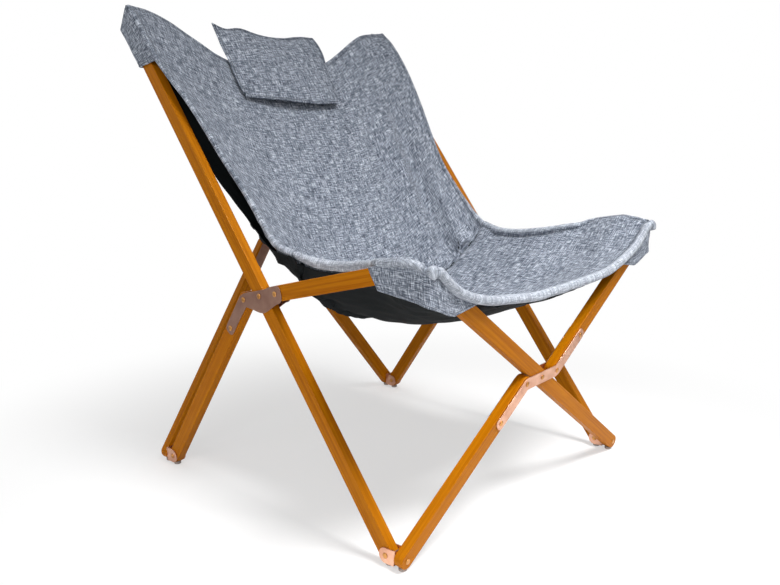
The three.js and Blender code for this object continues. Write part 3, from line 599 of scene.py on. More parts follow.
def make_bar(node, place_in_tree):
    """A wooden bar: a flat band with half round ends. Its grain runs along it, and no two bars' alike."""
    centre, axes, half = axes_of(node)
    along, across, through = axes
    turn = np.linspace(-math.pi / 2, math.pi / 2, END_STEPS + 1)
    angles = np.concatenate([turn, turn + math.pi])
    ends = np.repeat([1, -1], END_STEPS + 1) * (half[0] - half[1])
    spine = centre + np.outer(ends, along)
    away = np.outer(np.cos(angles), along) + np.outer(np.sin(angles), across)
    shape = band_shape(spine, away, half[1], through, half[2], BAR_ROUNDING,
                       lambda points: (points - centre) @ axes.T + place_in_tree)
    piece(f"wood_{node}", [shape], WOOD, body_of(node), [node])


def bar_end(node, near):
    """Middle of the round end of a CAD bar that is nearest to a point, and the way from there along it."""
    centre, axes, half = axes_of(node)
    run = axes[0] * (half[0] - half[1])
    run = run if np.linalg.norm(centre + run - near) < np.linalg.norm(centre - run - near) else -run
    return centre + run, -unit(run)


BARS = [f"{bar}_{side}" for bar in ("post", "rear_leg", "seat_rail") for side in ("right", "left")]
BARS += [f"{place}_bar_{part}" for place in ("front", "back") for part in ("lower", "upper", "through")]
for number, bar in enumerate(BARS):
    make_bar(bar, GRAIN_SHIFT * number)


# Turned pieces: pins, rivets and glides


def turned_shape(centre, axis, radius, height):
    """A profile of radii and heights turned round an axis."""
    side = unit(np.cross(axis, OFF_AXIS))
    other = np.cross(axis, side)
    angles = np.linspace(0, 2 * math.pi, TURN_STEPS, endpoint=False)
    ring = np.outer(np.cos(angles), side) + np.outer(np.sin(angles), other)
    points = centre + ring * radius[:, None, None] + (axis * height[:, None])[:, None, :]
    return grid_shape(points, points)


def pin_shape(centre, axis, half_length):
    """A pin with a low domed head at each end: a quarter ellipse over a short straight edge."""
    turn = np.linspace(0, math.pi / 2, 7)
    under_head = half_length - HEAD_HEIGHT
    radius = np.concatenate([HEAD_RADIUS * np.sin(turn), [HEAD_RADIUS * HEAD_TAPER, SHANK_RADIUS]])
    height = np.concatenate([half_length - HEAD_DOME * (1 - np.cos(turn)), [under_head, under_head]])
    return turned_shape(centre, axis, np.concatenate([radius, radius[::-1]]),
                        np.concatenate([height, -height[::-1]]))


def make_pin(node):
    """A pin in place of a CAD pin."""
    centre, axes, half = axes_of(node)
    shape = pin_shape(centre, axes[0], half[0])
    piece(f"copper_{node}", [shape], BRASS, body_of(node), [node])


def make_glide(node):
    """A glide: a round pad with a rounded lower edge."""
    low, high = np.array(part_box(node))
    outer, _, top = (high - low) / 2
    turn = np.linspace(0, math.pi / 2, 6)
    radius = np.concatenate([[0], outer - GLIDE_ROUNDING * (1 - np.sin(turn)), [outer, 0]])
    height = np.concatenate([[-top], -top + GLIDE_ROUNDING * (1 - np.cos(turn)), [top, top]])
    shape = turned_shape((low + high) / 2, UP, radius, height)
    piece(f"rubber_{node}", [shape], RUBBER, body_of(node), [node])


for node in sorted(frame["nodes"]):
    if "_pin" in node:
        make_pin(node)
    if node.startswith("glide_"):
        make_glide(node)


# Lines of points


def lengths_along(points):
    """Length along a line of points, from its first one to each."""
    return np.concatenate([[0], np.cumsum(np.linalg.norm(np.diff(points, axis=0), axis=1))])


def at_lengths(places, lengths, points):
    """Points of a line at places along it, from the length at each of its own points."""
    return np.stack([np.interp(places, lengths, column) for column in np.transpose(points)], axis=-1)


def rounded_path(points, radius, step=0.0015):
    """A line through points whose bends are eased: sampled evenly, then averaged over a moving length."""
    lengths = lengths_along(points)
    total = lengths[-1]
    places = np.linspace(0, total, int(total / step))
    reach = np.linspace(-radius, radius, 15)
    to_end = np.minimum(places, total - places)
    spread = places[:, None] + reach * np.minimum(1, to_end / radius)[:, None]
    return at_lengths(spread, lengths, points).mean(axis=1)


# Copper plates


def plate_shape(path, left, right, through, half_thickness):
    """A flat plate along a path, with its own half widths to the left and right, and superellipse ends."""
    ahead = unit(np.gradient(path, axis=0))
    beside = np.cross(through, ahead)
    turn = np.linspace(0, math.pi, END_STEPS + 1)[1:-1, None]
    count = len(turn)
    side = np.sign(np.cos(turn)) * np.abs(np.cos(turn)) ** PLATE_END_POWER
    end = np.sin(turn) ** PLATE_END_POWER
    front = beside[-1] * side + ahead[-1] * end
    rear = -beside[0] * side - ahead[0] * end
    spine = np.concatenate([path, np.repeat(path[-1:], count, 0),
                            path[::-1], np.repeat(path[:1], count, 0)])
    away = np.concatenate([beside, front, -beside[::-1], rear])
    width = np.concatenate([left, np.linspace(left[-1], right[-1], count),
                            right[::-1], np.linspace(right[0], left[0], count)])
    return band_shape(spine, away, width, through, half_thickness, PLATE_ROUNDING, lambda points: points)


def make_plates(name, path, left, right, rivets, axis, metal):
    """The pair of plates of a crossing, and the rivets through both, whose domed heads stand on them."""
    inner = name.format("inner")
    low, high = np.array(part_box(inner))
    offset = ((low + high) / 2 - path.mean(axis=0)) @ axis
    half_thickness = axes_of(inner)[2][2]
    for layer, sign in (("outer", -1), ("inner", 1)):
        node = name.format(layer)
        shape = plate_shape(path + axis * offset * sign, left, right, axis, half_thickness)
        piece(f"copper_{node}", [shape], metal, body_of(node), [node])
    grip = abs(offset) + half_thickness + HEAD_HEIGHT + RIVET_STAND
    heads = [pin_shape(rivet, axis, grip) for rivet in rivets]
    piece(f"rivets_{name.format('outer')}", heads, BRASS, body_of(name.format("outer")))


def make_elbow(side):
    """The elbow plates of one side: along the rear leg's top, then over the crossing to the rail's pin.

    The lower edge swells below the crossing by a bell curve, and the end at the rail is a little wider.
    """
    rail = pivot(f"rail_{side}")
    near, down_leg = bar_end(f"rear_leg_{side}", pivot(f"cross_{side}"))
    far = near + down_leg * ELBOW_RIVET_PITCH
    path = rounded_path([far, near, rail], PLATE_BEND)
    along = (path - near) @ unit(rail - near) / np.linalg.norm(rail - near)
    upper = PLATE_WIDTH / 2 + ELBOW_NOSE * rise(along, start=0.6, span=0.4)
    lower = upper + ELBOW_BULGE * bell(along - 0.55, width=0.37)
    lies_left = np.cross(LEFT, rail - near)[2] < 0
    left, right = (lower, upper) if lies_left else (upper, lower)
    # The elbow plates take the darker copy of the copper, painted shade
    make_plates(f"elbow_plate_{{}}_{side}", path, left, right, [far, near], LEFT, SHADED_COPPER)


def make_cross_plates(place, metal):
    """The Z plates of the front or back crossing: along the lower bar, over the pin, up the upper bar."""
    crossing = pivot(f"cross_{place}")
    axis = unit(np.array(joints[f"cross_{place}"]["axis"], float))
    lower, down_bar = bar_end(f"{place}_bar_lower", crossing)
    upper, up_bar = bar_end(f"{place}_bar_upper", crossing)
    rivets = [lower + down_bar * CROSS_RIVET_PITCH, lower, upper, upper + up_bar * CROSS_RIVET_PITCH]
    path = rounded_path(rivets, PLATE_BEND)
    half = np.full(len(path), PLATE_WIDTH / 2)
    make_plates(f"{place}_plate_{{}}", path, half, half, rivets, axis, metal)


make_elbow("right")
make_elbow("left")
make_cross_plates("front", COPPER)
# The back crossing's plates take the darker copy of the copper, painted shade
make_cross_plates("back", SHADED_COPPER)
for node in sorted(frame["nodes"]):
    if node.startswith("foot_bracket_"):
        frame["nodes"][node].data.materials.clear()
        frame["nodes"][node].data.materials.append(COPPER)


# The sling's guiding lines, in the side view

post_foot = pivot("foot_hinge_front_right")
side_crossing = pivot("cross_right")
post_along = unit(side_crossing - post_foot)
post_ahead = np.array([0.0, -post_along[2], post_along[1]])
post_top = np.max((corners_of("post_right").reshape(-1, 3) - post_foot) @ post_along)
rail_tip, rail_back = bar_end("seat_rail_right", pivot("rail_right") - [0, 1, 0])
rail_above = np.array([0.0, -rail_back[2], rail_back[1]])


def beside_post(out, up, ahead):
    """Points `out` from the middle plane, `up` the post from its foot pivot and `ahead` of its axis."""
    foot = np.multiply.outer(out, LEFT) + [0, post_foot[1], post_foot[2]]
    return foot + np.multiply.outer(up, post_along) + np.multiply.outer(ahead, post_ahead)


def beside_crossing(out, back, up):
    """A point `out` from the middle plane, `back` behind the side crossings and `up` above them."""
    return np.array([out, side_crossing[1] + back, side_crossing[2] + up])


def smooth_line(points, shares):
    """A smooth line through points: cubic pieces whose slopes come from the neighbouring points.

    Shares of 0 to 1 count the length of the straight lines between the points.
    """
    points = np.asarray(points)
    knots = lengths_along(points)
    knots /= knots[-1]
    slopes = np.gradient(points, knots, axis=0)
    index = np.clip(np.searchsorted(knots, shares, side="right") - 1, 0, len(knots) - 2)
    width = (knots[index + 1] - knots[index])[:, None]
    t = (shares - knots[index])[:, None] / width
    start, end = points[index], points[index + 1]
    return (start * (1 + 2 * t) * (1 - t) ** 2 + end * t * t * (3 - 2 * t)
            + slopes[index] * width * t * (1 - t) ** 2 - slopes[index + 1] * width * t * t * (1 - t))


crease_edge = beside_crossing(*CREASE_EDGE)
crease_middle = beside_crossing(*CREASE_MIDDLE)
back_edge = [*(beside_post(*place) for place in BACK_EDGE), beside_crossing(*BACK_EDGE_LOW), crease_edge]
back_middle = [*(beside_post(*place) for place in BACK_MIDDLE), crease_middle]
seat_edge = [crease_edge, *(beside_crossing(*place) for place in SEAT_EDGE)]
seat_middle = [crease_middle, *(beside_crossing(*place) for place in SEAT_MIDDLE)]


# Quilted panels


def spaced(length, start_edge, end_edge, step=GRID_STEP, groove=GROOVE_PLACES):
    """Shares of a length: close together over a hem's roll and groove at both ends, and even between."""
    close = np.concatenate([1 - np.cos(np.linspace(0, math.pi / 2, 7)), groove])
    near_start = start_edge * close
    near_end = length - end_edge * close[::-1]
    first, last = near_start[-1], near_end[0]
    even = np.linspace(first, last, max(2, int((last - first) / step)))[1:-1]
    return np.concatenate([near_start, even, near_end]) / length


def distances(points, axis):
    """Length along a grid of points in one direction, from its first point and to its last."""
    steps = np.linalg.norm(np.diff(points, axis=axis), axis=-1)
    pad = [(1, 0) if axis == 0 else (0, 0), (1, 0) if axis == 1 else (0, 0)]
    run = np.pad(np.cumsum(steps, axis=axis), pad)
    return run, np.take(run, [-1], axis=axis) - run


def to_sides(points):
    """Distance of a grid's points from the nearer of its side edges."""
    return np.minimum(*distances(points, 1))


def to_ends(points):
    """Distance of a grid's points from the nearer of its first and last row."""
    return np.minimum(*distances(points, 0))


def normals(points):
    """Direction square to a grid surface at each of its points."""
    return unit(np.cross(np.gradient(points, axis=0), np.gradient(points, axis=1)))


def moved_out(points, height):
    """A grid surface moved along its own normals."""
    return points + normals(points) * height[..., None]


def nose(distance, radius):
    """A quarter circle that rises from 0 at an edge to 1 at a radius from it."""
    return np.sqrt(np.clip(1 - (1 - np.minimum(distance / radius, 1)) ** 2, 0, 1))


def quilt_shape(points, hems, flat_half=PANEL_HALF_THICKNESS):
    """A thin quilted panel round a grid surface.

    Its half thickness is even in the middle, swells to a rolled hem's radius near each edge with a
    stitched groove behind the roll, and runs out by a quarter circle at the edge itself. The pattern's
    third value is 1 on a roll, where the fabric gets a painted highlight, and -1 in a groove, where it
    gets painted shade.
    `hems` are the radii at the first and last column and at the first and last row.
    """
    half = np.full(points.shape[:2], flat_half)
    rim = np.ones(points.shape[:2])
    # A painted highlight on the rolled hems, and painted shade in the stitched grooves behind them, both
    # for the fabric's colour
    roll_highlight = np.zeros(points.shape[:2])
    groove_shade = np.zeros(points.shape[:2])
    for distance, radius in zip((*distances(points, 1), *distances(points, 0)), hems):
        half += (radius - flat_half) * (1 - rise(distance, radius, HEM_FALL))
        groove = bell(distance - GROOVE_MIDDLE * radius, GROOVE_WIDTH * radius)
        half -= HEM_GROOVE * (radius - flat_half) * groove
        groove_shade = np.maximum(groove_shade, groove * np.not_equal(radius, CREASE_RADIUS))
        rim *= nose(distance, radius)
        # Only hems thicker than the back's get the painted highlight
        thick = np.clip((radius - BACK_HEM_RADIUS) / ROLL_HIGHLIGHT_RANGE, 0, 1)
        roll_highlight = np.maximum(roll_highlight, (1 - rise(distance, radius, radius)) * thick)
    top = moved_out(points, half * rim)
    pattern = cloth_pattern(top)
    pattern[..., 2] = roll_highlight - groove_shade
    return two_sided(top, moved_out(points, -half * rim), pattern)


def cloth_pattern(points):
    """Place on the cloth: length across from the middle of each row, and length along."""
    across, _ = distances(points, 1)
    along, _ = distances(points, 0)
    middle = points.shape[1] // 2
    across = across - across[:, middle:middle + 1]
    along = np.repeat(along[:, middle:middle + 1], points.shape[1], axis=1)
    return np.stack([across, along, np.zeros_like(along)], axis=-1)


def lumps(across, along, wavelength, count, seed):
    """Smooth unevenness between about -1 and 1: waves of one length that run in many directions."""
    draw = np.random.default_rng(seed)
    angles = draw.uniform(0, 2 * math.pi, count)
    phases = draw.uniform(0, 2 * math.pi, count)
    lengths = wavelength * draw.uniform(0.7, 1.4, count)
    turned = across[..., None] * np.cos(angles) + along[..., None] * np.sin(angles)
    return np.cos(2 * math.pi * turned / lengths + phases).sum(axis=-1) / math.sqrt(2 * count)


def puckers(along, distance, seed):
    """Small folds that a sewn hem draws in: waves along it that fade away from it."""
    draw = np.random.default_rng(seed)
    waves = sum(np.cos(2 * math.pi * along / length + draw.uniform(0, 2 * math.pi))
                for length in PUCKER_LENGTHS)
    return waves / 2 * bell(distance, PUCKER_REACH) * rise(distance, 0, PUCKER_START)


def gathers(across, to_crease, height, wavelength, phase, reach):
    """Waves across the cloth that fade away from the crease."""
    return height * np.cos(2 * math.pi * across / wavelength + phase) * bell(to_crease, reach)


def panel_grid(edge, middle, crown, hems):
    """A sling panel's plain surface, and the share of each row along it.

    Each row runs from the middle line up to both edges. `crown` gives the share of that way from the
    distance out, 0 in the middle and 1 at the edges, and the row.
    """
    side = 2 * spaced(2 * HALF_SPAN, hems[0], hems[1]) - 1
    rows = spaced(lengths_along(middle)[-1], hems[2], hems[3])
    rim = smooth_line(edge, rows)
    core = smooth_line(middle, rows)
    lift = crown(np.abs(side)[None, :], rows[:, None])
    points = core[:, None, :] + lift[..., None] * (rim - core)[:, None, :]
    points[..., 0] = side * rim[:, :1]
    return points, rows[:, None]


def back_crown(out, down):
    """Rise of the back towards its edges: a power of the distance out.

    Near the top edge it passes into an S with flat corners.
    """
    flat_corner = 0.75 * bell(down, width=0.16)
    return (1 - flat_corner) * out ** CROWN_POWER + flat_corner * rise(out, start=0.27, span=0.64)


def seat_crown(out, ahead):
    """Rise of the seat towards its edges: a power of the distance out that grows towards the front."""
    return out ** (CROWN_POWER + 1.1 * ahead ** 2)


def wrinkled(points, seed, sag, pucker):
    """A panel's surface with its unevenness: slow swells, puckers at the side hems, and folds by `sag`."""
    pattern = cloth_pattern(points)
    across, along = pattern[..., 0], pattern[..., 1]
    swell = sag(pattern)
    for number, (height, wavelength, count) in enumerate(SWELLS):
        swell += height * lumps(across, along, wavelength, count, seed + number)
    for number, distance in enumerate(distances(points, 1)):
        swell += pucker * puckers(along, distance, seed + 2 + number)
    fade = rise(to_sides(points), start=0, span=0.02) * rise(to_ends(points), start=0, span=0.008)
    return moved_out(points, swell * fade)


def tucked(points, to_crease):
    """A panel's surface drawn down where it is sewn to the other panel, but not at its side hems."""
    inside = rise(to_sides(points), start=0, span=0.05)
    return moved_out(points, -CREASE_TUCK * inside * bell(to_crease, CREASE_REACH))


def back_sag(pattern):
    """Folds of the back: upright ones on the left, gathers at the crease, short pleats off the near hem."""
    across, along = pattern[..., 0], pattern[..., 1]
    to_crease = along.max() - along
    leaning = across - UPRIGHT_LEAN * to_crease
    upright = sum(depth * bell(leaning - place, width) for place, width, depth in UPRIGHT_FOLDS)
    from_hem = across - NEAR_HEM
    pleats = sum(bell(to_crease - place - PLEAT_LEAN * from_hem, PLEAT_WIDTH) for place in HEM_PLEATS)
    return (gathers(across, to_crease, *BACK_GATHERS) - upright * rise(along, start=0.08, span=0.2)
            - PLEAT_DEPTH * pleats * bell(from_hem, PLEAT_LENGTH))


def seat_sag(pattern):
    """Gathers where the seat leaves the crease."""
    return gathers(pattern[..., 0], pattern[..., 1], *SEAT_GATHERS)


def over_rails(points, ahead):
    """Turns the seat's side edges down over the rails' outer sides, along the pockets."""
    near = 1 - np.minimum(to_sides(points) / WRAP_REACH, 1)
    drop = WRAP_DROP * near ** 2 * rise(ahead, start=0.52, span=0.14)
    return points - drop[..., None] * UP


def clear_of_rails(points):
    """Lifts the seat over the rails and the front bars' ends.

    The least height is level over a rail, falls evenly from its inner edge towards the middle and
    steeply from its outer edge, and the surface passes smoothly into it.
    """
    rail_line = rail_tip + np.outer([0, RAIL_RUN], rail_back) + RAIL_HALF_HEIGHT * rail_above
    bar_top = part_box("front_bar_upper")[1][2] - BAR_END_DEPTH
    places = [rail_tip[1] - RAIL_FRONT_RUN, *rail_line[:, 1]]
    heights = np.array([bar_top, *rail_line[:, 2]]) + PANEL_HALF_THICKNESS + RAIL_CLEARANCE
    low, high = np.array(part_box("seat_rail_left"))
    out = np.abs(points[..., 0])
    least = np.interp(points[..., 1], places, heights)
    least -= RAIL_FALL * np.maximum(0, low[0] - RAIL_INNER_MARGIN - out)
    least -= RAIL_OUTER_FALL * np.maximum(0, out - high[0] + RAIL_OUTER_MARGIN)
    lifted = points.copy()
    lifted[..., 2] = RAIL_BLEND * np.logaddexp(points[..., 2] / RAIL_BLEND, least / RAIL_BLEND)
    return lifted


def lining_shape(points, rows, inset, shift):
    """The lining under a panel: some of its rows, drawn in from the side hems, with long folds.

    `shift` moves its points further, by their place on the cloth.
    """
    pattern = cloth_pattern(points)
    below = points - normals(points) * LINING_GAP + shift(points)
    below[..., 0] *= np.minimum(1, LINING_HALF_WIDTH / np.abs(below[..., 0]).max(axis=1, keepdims=True))
    folds = lumps(pattern[..., 0] * 3, pattern[..., 1], wavelength=0.12, count=12, seed=31)
    kept = (rows, slice(inset, -inset))
    inner = moved_out(below[kept], -LINING_FOLDS * np.abs(folds[kept]))
    half = LINING_HALF_THICKNESS * nose(np.minimum(to_sides(inner), to_ends(inner)), LINING_EDGE)
    return two_sided(moved_out(inner, half), moved_out(inner, -half), pattern[kept])


def under_rails(points):
    """Moves the seat's lining down at its front corners, where it hangs between the rails."""
    out = np.abs(points[..., 0]) / np.abs(points[..., 0]).max()
    ahead = np.linspace(0, 1, len(points))[:, None]
    depth = LINING_CORNER_DEPTH * out ** 4 * rise(ahead, start=0.45, span=0.25)
    return -depth[..., None] * UP


def behind_edges(points):
    """Moves the back's lining behind the side edges and top corners, and its end under the seat's."""
    out = np.abs(points[..., 0]) / np.abs(points[..., 0]).max(axis=1, keepdims=True)
    down = np.linspace(0, 1, len(points))[:, None]
    side_edge = out ** 6 * rise(down, start=0.08, span=0.2) * (1 - rise(down, start=0.6, span=0.35))
    top_corner = rise(out, start=0.2, span=0.3) * (1 - rise(down, start=0.15, span=0.35))
    low_end = rise(down, start=0.95, span=0.05)
    depth = LINING_DEPTH * side_edge + LINING_TOP_GAP * top_corner
    return -depth[..., None] * post_ahead + low_end[..., None] * LINING_UNDER_SEAT


def fold_with_frame(made):
    """Gives a fabric piece its own copy of its mesh."""
    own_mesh(made)


def make_panel(name, surface, hems, lining):
    """A panel of the sling: its quilted cover and its lining."""
    cover = piece(f"{name}_cover", [quilt_shape(surface, hems)], FABRIC, name, [name])
    under = piece(f"{name}_lining", [lining], LINING, name)
    for made in (cover, under):
        fold_with_frame(made)


def make_back():
    """The sling's back. Its left corner hangs a little, and its left edge is slack above the crease."""
    hems = (BACK_HEM_RADIUS, BACK_HEM_RADIUS, TOP_HEM_RADIUS, CREASE_RADIUS)
    surface, down = panel_grid(back_edge, back_middle, back_crown, hems)
    corner = rise(surface[..., 0], start=0.24, span=0.07) * bell(down, width=0.07)
    surface -= LEFT_CORNER_DROP * corner[..., None] * post_along
    slack = rise(surface[..., 0], start=0.156, span=0.12) * bell(down - 0.7, width=0.2)
    surface -= slack[..., None] * (LEFT_EDGE_BACK * post_ahead + LEFT_EDGE_IN * LEFT)
    surface = wrinkled(surface, seed=3, sag=back_sag, pucker=0.0003)
    surface = tucked(surface, distances(surface, 0)[1])
    side_hem = BACK_HEM_RADIUS + (CREASE_HEM_RADIUS - BACK_HEM_RADIUS) * rise(down, start=0.7, span=0.3)
    lining = lining_shape(surface, rows=slice(16, -1), inset=4, shift=behind_edges)
    make_panel("sling_back", surface, (side_hem, side_hem, *hems[2:]), lining)


def make_seat():
    """The sling's seat."""
    hems = (HEM_RADIUS, HEM_RADIUS, CREASE_RADIUS, FRONT_HEM_RADIUS)
    surface, ahead = panel_grid(seat_edge, seat_middle, seat_crown, hems)
    surface = wrinkled(surface, seed=11, sag=seat_sag, pucker=0.0012)
    surface = clear_of_rails(over_rails(surface, ahead))
    surface = tucked(surface, distances(surface, 0)[0])
    side_hem = CREASE_HEM_RADIUS + (HEM_RADIUS - CREASE_HEM_RADIUS) * rise(ahead, start=0, span=0.15)
    side_hem += (RAIL_HEM_RADIUS - HEM_RADIUS) * rise(ahead, start=0.5, span=0.14)
    lining = lining_shape(surface, rows=slice(2, -10), inset=9, shift=under_rails)
    make_panel("sling_seat", surface, (side_hem, side_hem, *hems[2:]), lining)


make_back()
make_seat()


# Corner pockets


def make_pocket(node, surfaces):
    """A pocket from its surfaces, each a thin cloth with hemmed edges. It rides with the bar inside it."""
    hems = (POCKET_HEM, POCKET_HEM, POCKET_HALF_THICKNESS, POCKET_HEM)
    shapes = [quilt_shape(surface, hems, POCKET_HALF_THICKNESS) for surface in surfaces]
    made = piece(f"{node}_cover", shapes, FABRIC, body_of(node), [node])
    return made


def seat_pocket_surface(sign):
    """The wall of a seat pocket: down the rail's outer side, round the corner and along the front bar.

    Its plan is two straight lines and a quarter circle. Its top follows the seat's hem and its lower
    edge runs from under the rail to under the front bar, where both edges meet. Short pleats run out
    from a knot at the corner.
    """
    turn = np.linspace(0, math.pi / 2, 12)
    corner_x = POCKET_SIDE - SEAT_POCKET_CORNER * (1 - np.cos(turn))
    corner_y = SEAT_POCKET_FRONT_Y + SEAT_POCKET_CORNER * (1 - np.sin(turn))
    plan = np.concatenate([
        [[POCKET_SIDE, SEAT_POCKET_BACK_Y]],
        np.stack([corner_x, corner_y], axis=1),
        [[SEAT_POCKET_END_X, SEAT_POCKET_FRONT_Y]],
    ])
    across, down = np.meshgrid(np.linspace(0, 1, 60), spaced(0.05, POCKET_HEM, POCKET_HEM, step=0.003))
    lengths = lengths_along(plan)
    samples = np.linspace(0, lengths[-1], 400)
    plan_x, plan_y = at_lengths(samples, lengths, plan).T
    start = SEAT_POCKET_SLANT * down
    place = start + across * (lengths[-1] - start)
    x = np.interp(place, samples, plan_x)
    y = np.interp(place, samples, plan_y)
    top = np.interp(place, *SEAT_POCKET_TOP)
    bottom = np.interp(place, *SEAT_POCKET_BOTTOM)
    z = top + (bottom - top) * down
    facing_front = rise(POCKET_SIDE - x, 0, SEAT_POCKET_CORNER)
    bearing = np.arctan2(z - KNOT_HEIGHT, place - KNOT_PLACE)
    reach = np.hypot(z - KNOT_HEIGHT, place - KNOT_PLACE)
    drawn = np.sin(KNOT_PLEATS * bearing) * rise(reach, 0, KNOT_RADIUS) * np.exp(-reach / KNOT_REACH)
    uneven = SEAT_POCKET_UNEVEN * lumps(place, z, wavelength=0.05, count=12, seed=41)
    ripple = (uneven + KNOT_PLEAT_HEIGHT * drawn) * np.sin(math.pi * down)
    out = ripple - POCKET_TUCK * (1 - down) ** 2
    x = x + out * (1 - facing_front)
    y = y - facing_front * (math.tan(FRONT_LEAN) * (z - SEAT_POCKET_LEAN_Z) + out)
    return np.stack([sign * x, y, z], axis=-1)


def back_pocket_surfaces(sign, slope):
    """A back pocket: a wall from the sling's hem past the post's outer side and behind it, and a lid.

    The wall's front follows the sling's edge, and its rear lies closer to the post at the mouth. Its
    top rises towards the front by `slope`.
    """
    hem = (np.array(back_edge) - post_foot) @ np.stack([post_along, post_ahead], axis=1)
    plan = rounded_path([
        [BACK_POCKET_HEM_X, BACK_POCKET_DEPTH, 0], [POCKET_SIDE, BACK_POCKET_DEPTH, 0],
        [POCKET_SIDE, 0, 0], [BACK_POCKET_INNER_X, BACK_POCKET_INNER_DEPTH, 0]], BACK_POCKET_BEND)
    down = spaced(BACK_POCKET_LENGTH, POCKET_HEM, POCKET_HEM, step=0.005)[:, None]
    rear = BACK_POCKET_REAR + (BACK_MOUTH_REAR - BACK_POCKET_REAR) * down
    top = post_top + BACK_POCKET_RISE
    level = top - BACK_POCKET_LENGTH * down
    front = np.interp(level, hem[::-1, 0], hem[::-1, 1]) - BACK_HEM_RADIUS - BACK_POCKET_GAP
    ahead = rear + (front - rear) * plan[:, 1] / BACK_POCKET_DEPTH
    up = level + ahead * (slope + (BACK_MOUTH_SLOPE - slope) * down)
    uneven = BACK_POCKET_UNEVEN * lumps(ahead * 2, up, wavelength=0.045, count=12, seed=43)
    wall = beside_post(sign * (plan[:, 0] + uneven * np.sin(math.pi * down)), up, ahead)
    across, along = np.meshgrid(np.linspace(BACK_POCKET_INNER_X, POCKET_SIDE, 12), np.linspace(0, 1, 16))
    lid_ahead = front[0] + along * (rear[0] - front[0])
    lid = beside_post(sign * across, top + slope * lid_ahead, lid_ahead)
    return [wall, lid]


for side, sign in (("right", -1), ("left", 1)):
    seat_surfaces = [seat_pocket_surface(sign)]
    seat_pocket = make_pocket(f"pocket_seat_{side}", seat_surfaces)
    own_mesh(seat_pocket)
    back_surfaces = back_pocket_surfaces(sign, BACK_POCKET_SLOPES[side])
    make_pocket(f"pocket_back_{side}", back_surfaces)


# Head pillow


def pillow_axes():
    """Middle of the pillow, and its directions across to the sitter's left, up and towards the sitter."""
    centre, axes, _ = axes_of("pillow")
    return centre, axes * np.sign((axes * [[1, 0, 0], [0, 0, 1], [0, -1, 0]]).sum(axis=1))[:, None]


def pillow_slab():
    """The pillow before it is filled: two faces between four edge lines, with a piped seam.

    The middle surface blends the lines: each opposite pair by the share of the way between them, less
    the share of the four corners. Its half thickness is a round bead at the seam, then a groove, then
    a low swell that levels off. The pattern's third value is the distance from the seam.
    """
    centre, (wide, tall, ahead) = pillow_axes()
    columns = spaced(0.26, 2 * PIPING, 2 * PIPING, PILLOW_STEP, groove=[])
    rows = spaced(0.18, 2 * PIPING, 2 * PIPING, PILLOW_STEP, groove=[])
    across, up = columns[None, :, None], rows[:, None, None]
    bottom, top = (smooth_line(line, columns)[None] for line in (PILLOW_BOTTOM, PILLOW_TOP))
    left, right = (smooth_line(line, rows)[:, None] for line in (PILLOW_LEFT, PILLOW_RIGHT))
    low = bottom[:, :1] * (1 - across) + bottom[:, -1:] * across
    high = top[:, :1] * (1 - across) + top[:, -1:] * across
    flat = bottom * (1 - up) + top * up + left * (1 - across) + right * across - low * (1 - up) - high * up
    middle = centre + flat[..., :1] * wide + flat[..., 1:] * tall
    edge = np.minimum(to_sides(middle), to_ends(middle))
    bead = PIPING * np.sqrt(np.clip(1 - (edge / PIPING - 1) ** 2, 0, 1))
    swell = PILLOW_HALF_FILL * (1 - np.exp(-np.maximum(edge - 1.7 * PIPING, 0) / PILLOW_RISE))
    lift = np.maximum(bead, swell)[..., None] * ahead
    return two_sided(middle + lift, middle - lift, np.concatenate([flat, edge[..., None]], axis=-1))


def simulate_filling(made):
    """Fills a closed cloth with slight pressure for a few frames. Its seam stays, and no point goes far."""
    bpy.context.view_layer.objects.active = made
    start = read(made.data.vertices, "co")
    from_seam = read(made.data.attributes["pattern"].data, "vector")[:, 2]
    seam = made.vertex_groups.new(name="seam")
    seam.add(np.flatnonzero(from_seam < 2.5 * PIPING).tolist(), 1.0, "REPLACE")
    cloth = made.modifiers.new("filling", "CLOTH")
    cloth.settings.use_pressure = True
    cloth.settings.uniform_pressure_force = PILLOW_PRESSURE
    cloth.settings.vertex_group_mass = seam.name
    cloth.settings.effector_weights.gravity = 0
    for number in range(PILLOW_FRAMES):
        bpy.context.scene.frame_set(number + 1)
    filled = made.evaluated_get(bpy.context.evaluated_depsgraph_get())
    moved = read(filled.data.vertices, "co") - start
    made.modifiers.remove(cloth)
    made.vertex_groups.remove(seam)
    bpy.context.scene.frame_set(1)
    length = np.linalg.norm(moved, axis=1, keepdims=True)
    moved *= np.minimum(1, PILLOW_MOVE_LIMIT / np.maximum(length, 1e-9))
    made.data.vertices.foreach_set("co", (start + moved).ravel())


def mark_seam(mesh):
    """Turns the pattern's third value, the distance from the seam, into painted shade in the groove behind
    it, which darkens the fabric there.
    """
    values = mesh.attributes["pattern"].data
    pattern = read(values, "vector")
    pattern[:, 2] = -bell(pattern[:, 2] / PIPING - 2, width=0.6)
    values.foreach_set("vector", pattern.ravel())


def make_pillow():
    """The head pillow: a thin filled cushion."""
    centre, axes = pillow_axes()
    made = piece("pillow_cushion", [pillow_slab()], FABRIC, "sling_back", ["pillow"])
    simulate_filling(made)
    points = read(made.data.vertices, "co")
    local = (points - centre) @ axes.T
    uneven = PILLOW_UNEVEN * lumps(local[:, 0], local[:, 1], wavelength=0.05, count=16, seed=51)
    points += uneven[:, None] * axes[2]
    made.data.vertices.foreach_set("co", points.ravel())
    mark_seam(made.data)
    made.data.update()
    fold_with_frame(made)


make_pillow()


# Floor, light and camera


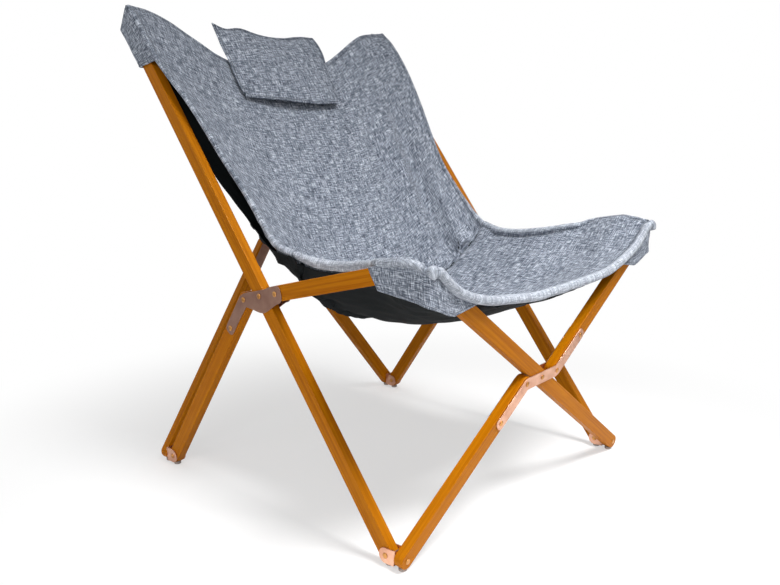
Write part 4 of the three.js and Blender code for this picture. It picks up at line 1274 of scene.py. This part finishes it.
def pale_floor():
    """A pale floor that takes the chair's shadow and fades into the white background away from it."""
    finish = Finish(bpy.data.materials.new("pale_floor"))
    away = finish.add("ShaderNodeVectorMath", {"operation": "LENGTH"})
    finish.feed(away.inputs[0], finish.place())
    far = finish.add("ShaderNodeMapRange", {"interpolation_type": "SMOOTHSTEP"},
                     Value=away.outputs["Value"], From_Min=FADE_START, From_Max=FADE_END)
    seen = finish.add("ShaderNodeLightPath").outputs["Is Camera Ray"]
    white = finish.add("ShaderNodeEmission", Color=(1, 1, 1, 1), Strength=1.0)
    mix = finish.add("ShaderNodeMixShader")
    glow = finish.ranged(far.outputs["Result"], FLOOR_GLOW, 1.0)
    finish.feed(mix.inputs[0], finish.maths("MULTIPLY", glow, seen))
    finish.feed(mix.inputs[1], finish.shader.outputs["BSDF"])
    finish.feed(mix.inputs[2], white.outputs["Emission"])
    finish.shade(Base_Color=(0.93, 0.93, 0.93, 1), Roughness=0.9, Specular_IOR_Level=0.0)
    finish.feed(finish.tree.nodes["Material Output"].inputs["Surface"], mix.outputs["Shader"])
    return finish.material


def make_floor():
    """A wide round floor under the feet."""
    angles = np.linspace(0, 2 * math.pi, FLOOR_SIDES, endpoint=False)
    ring = np.stack([np.cos(angles), np.sin(angles), np.zeros(FLOOR_SIDES)], axis=1)
    mesh = bpy.data.meshes.new("floor")
    mesh.from_pydata((FLOOR_RADIUS * ring + FLOOR_LEVEL * UP).tolist(), [], [list(range(FLOOR_SIDES))])
    mesh.materials.append(pale_floor())
    floor = new_object("floor", mesh)


def make_lamp(name, place, aim, size, power, spread=180):
    """A large soft square lamp at a place, aimed at a point. Its light keeps within `spread` degrees."""
    lamp = bpy.data.lights.new(name, "AREA")
    lamp.shape = "SQUARE"
    lamp.size = size
    lamp.energy = power
    lamp.spread = math.radians(spread)
    made = new_object(name, lamp)
    made.location = place
    ahead = np.array(aim) - np.array(place)
    turn = math.atan2(ahead[0], ahead[1])
    tilt = math.atan2(np.hypot(ahead[0], ahead[1]), -ahead[2])
    made.rotation_euler = (tilt, 0, -turn)


def make_world():
    """White light from all round, and a white background for the camera and for what metal reflects."""
    world = bpy.data.worlds.new("studio")
    finish = Finish(world, "Background")
    rays = finish.add("ShaderNodeLightPath").outputs
    either = finish.maths("MAXIMUM", rays["Is Camera Ray"], rays["Is Glossy Ray"])
    finish.shade(Color=(1, 1, 1, 1), Strength=finish.ranged(either, WORLD_LIGHT, 1.0))
    bpy.context.scene.world = world


def make_camera():
    """The photograph's camera."""
    lens = bpy.data.cameras.new("camera")
    lens.sensor_width = SENSOR_MM
    lens.lens = CAMERA_LENS_MM
    camera = new_object("camera", lens)
    camera.location = CAMERA_PLACE
    camera.rotation_euler = (math.pi / 2 - CAMERA_PITCH, 0, -CAMERA_YAW)
    bpy.context.scene.camera = camera


make_floor()
make_world()
make_lamp("key", place=(0.1, -1.5, 2.8), aim=(-0.05, -0.45, 0.36), size=1.0, power=10, spread=46)
make_lamp("fill", place=(-2.6, -1.2, 1.4), aim=(0, 0, 0.4), size=2.0, power=34)
make_camera()
bpy.context.scene.view_settings.view_transform = "Standard"
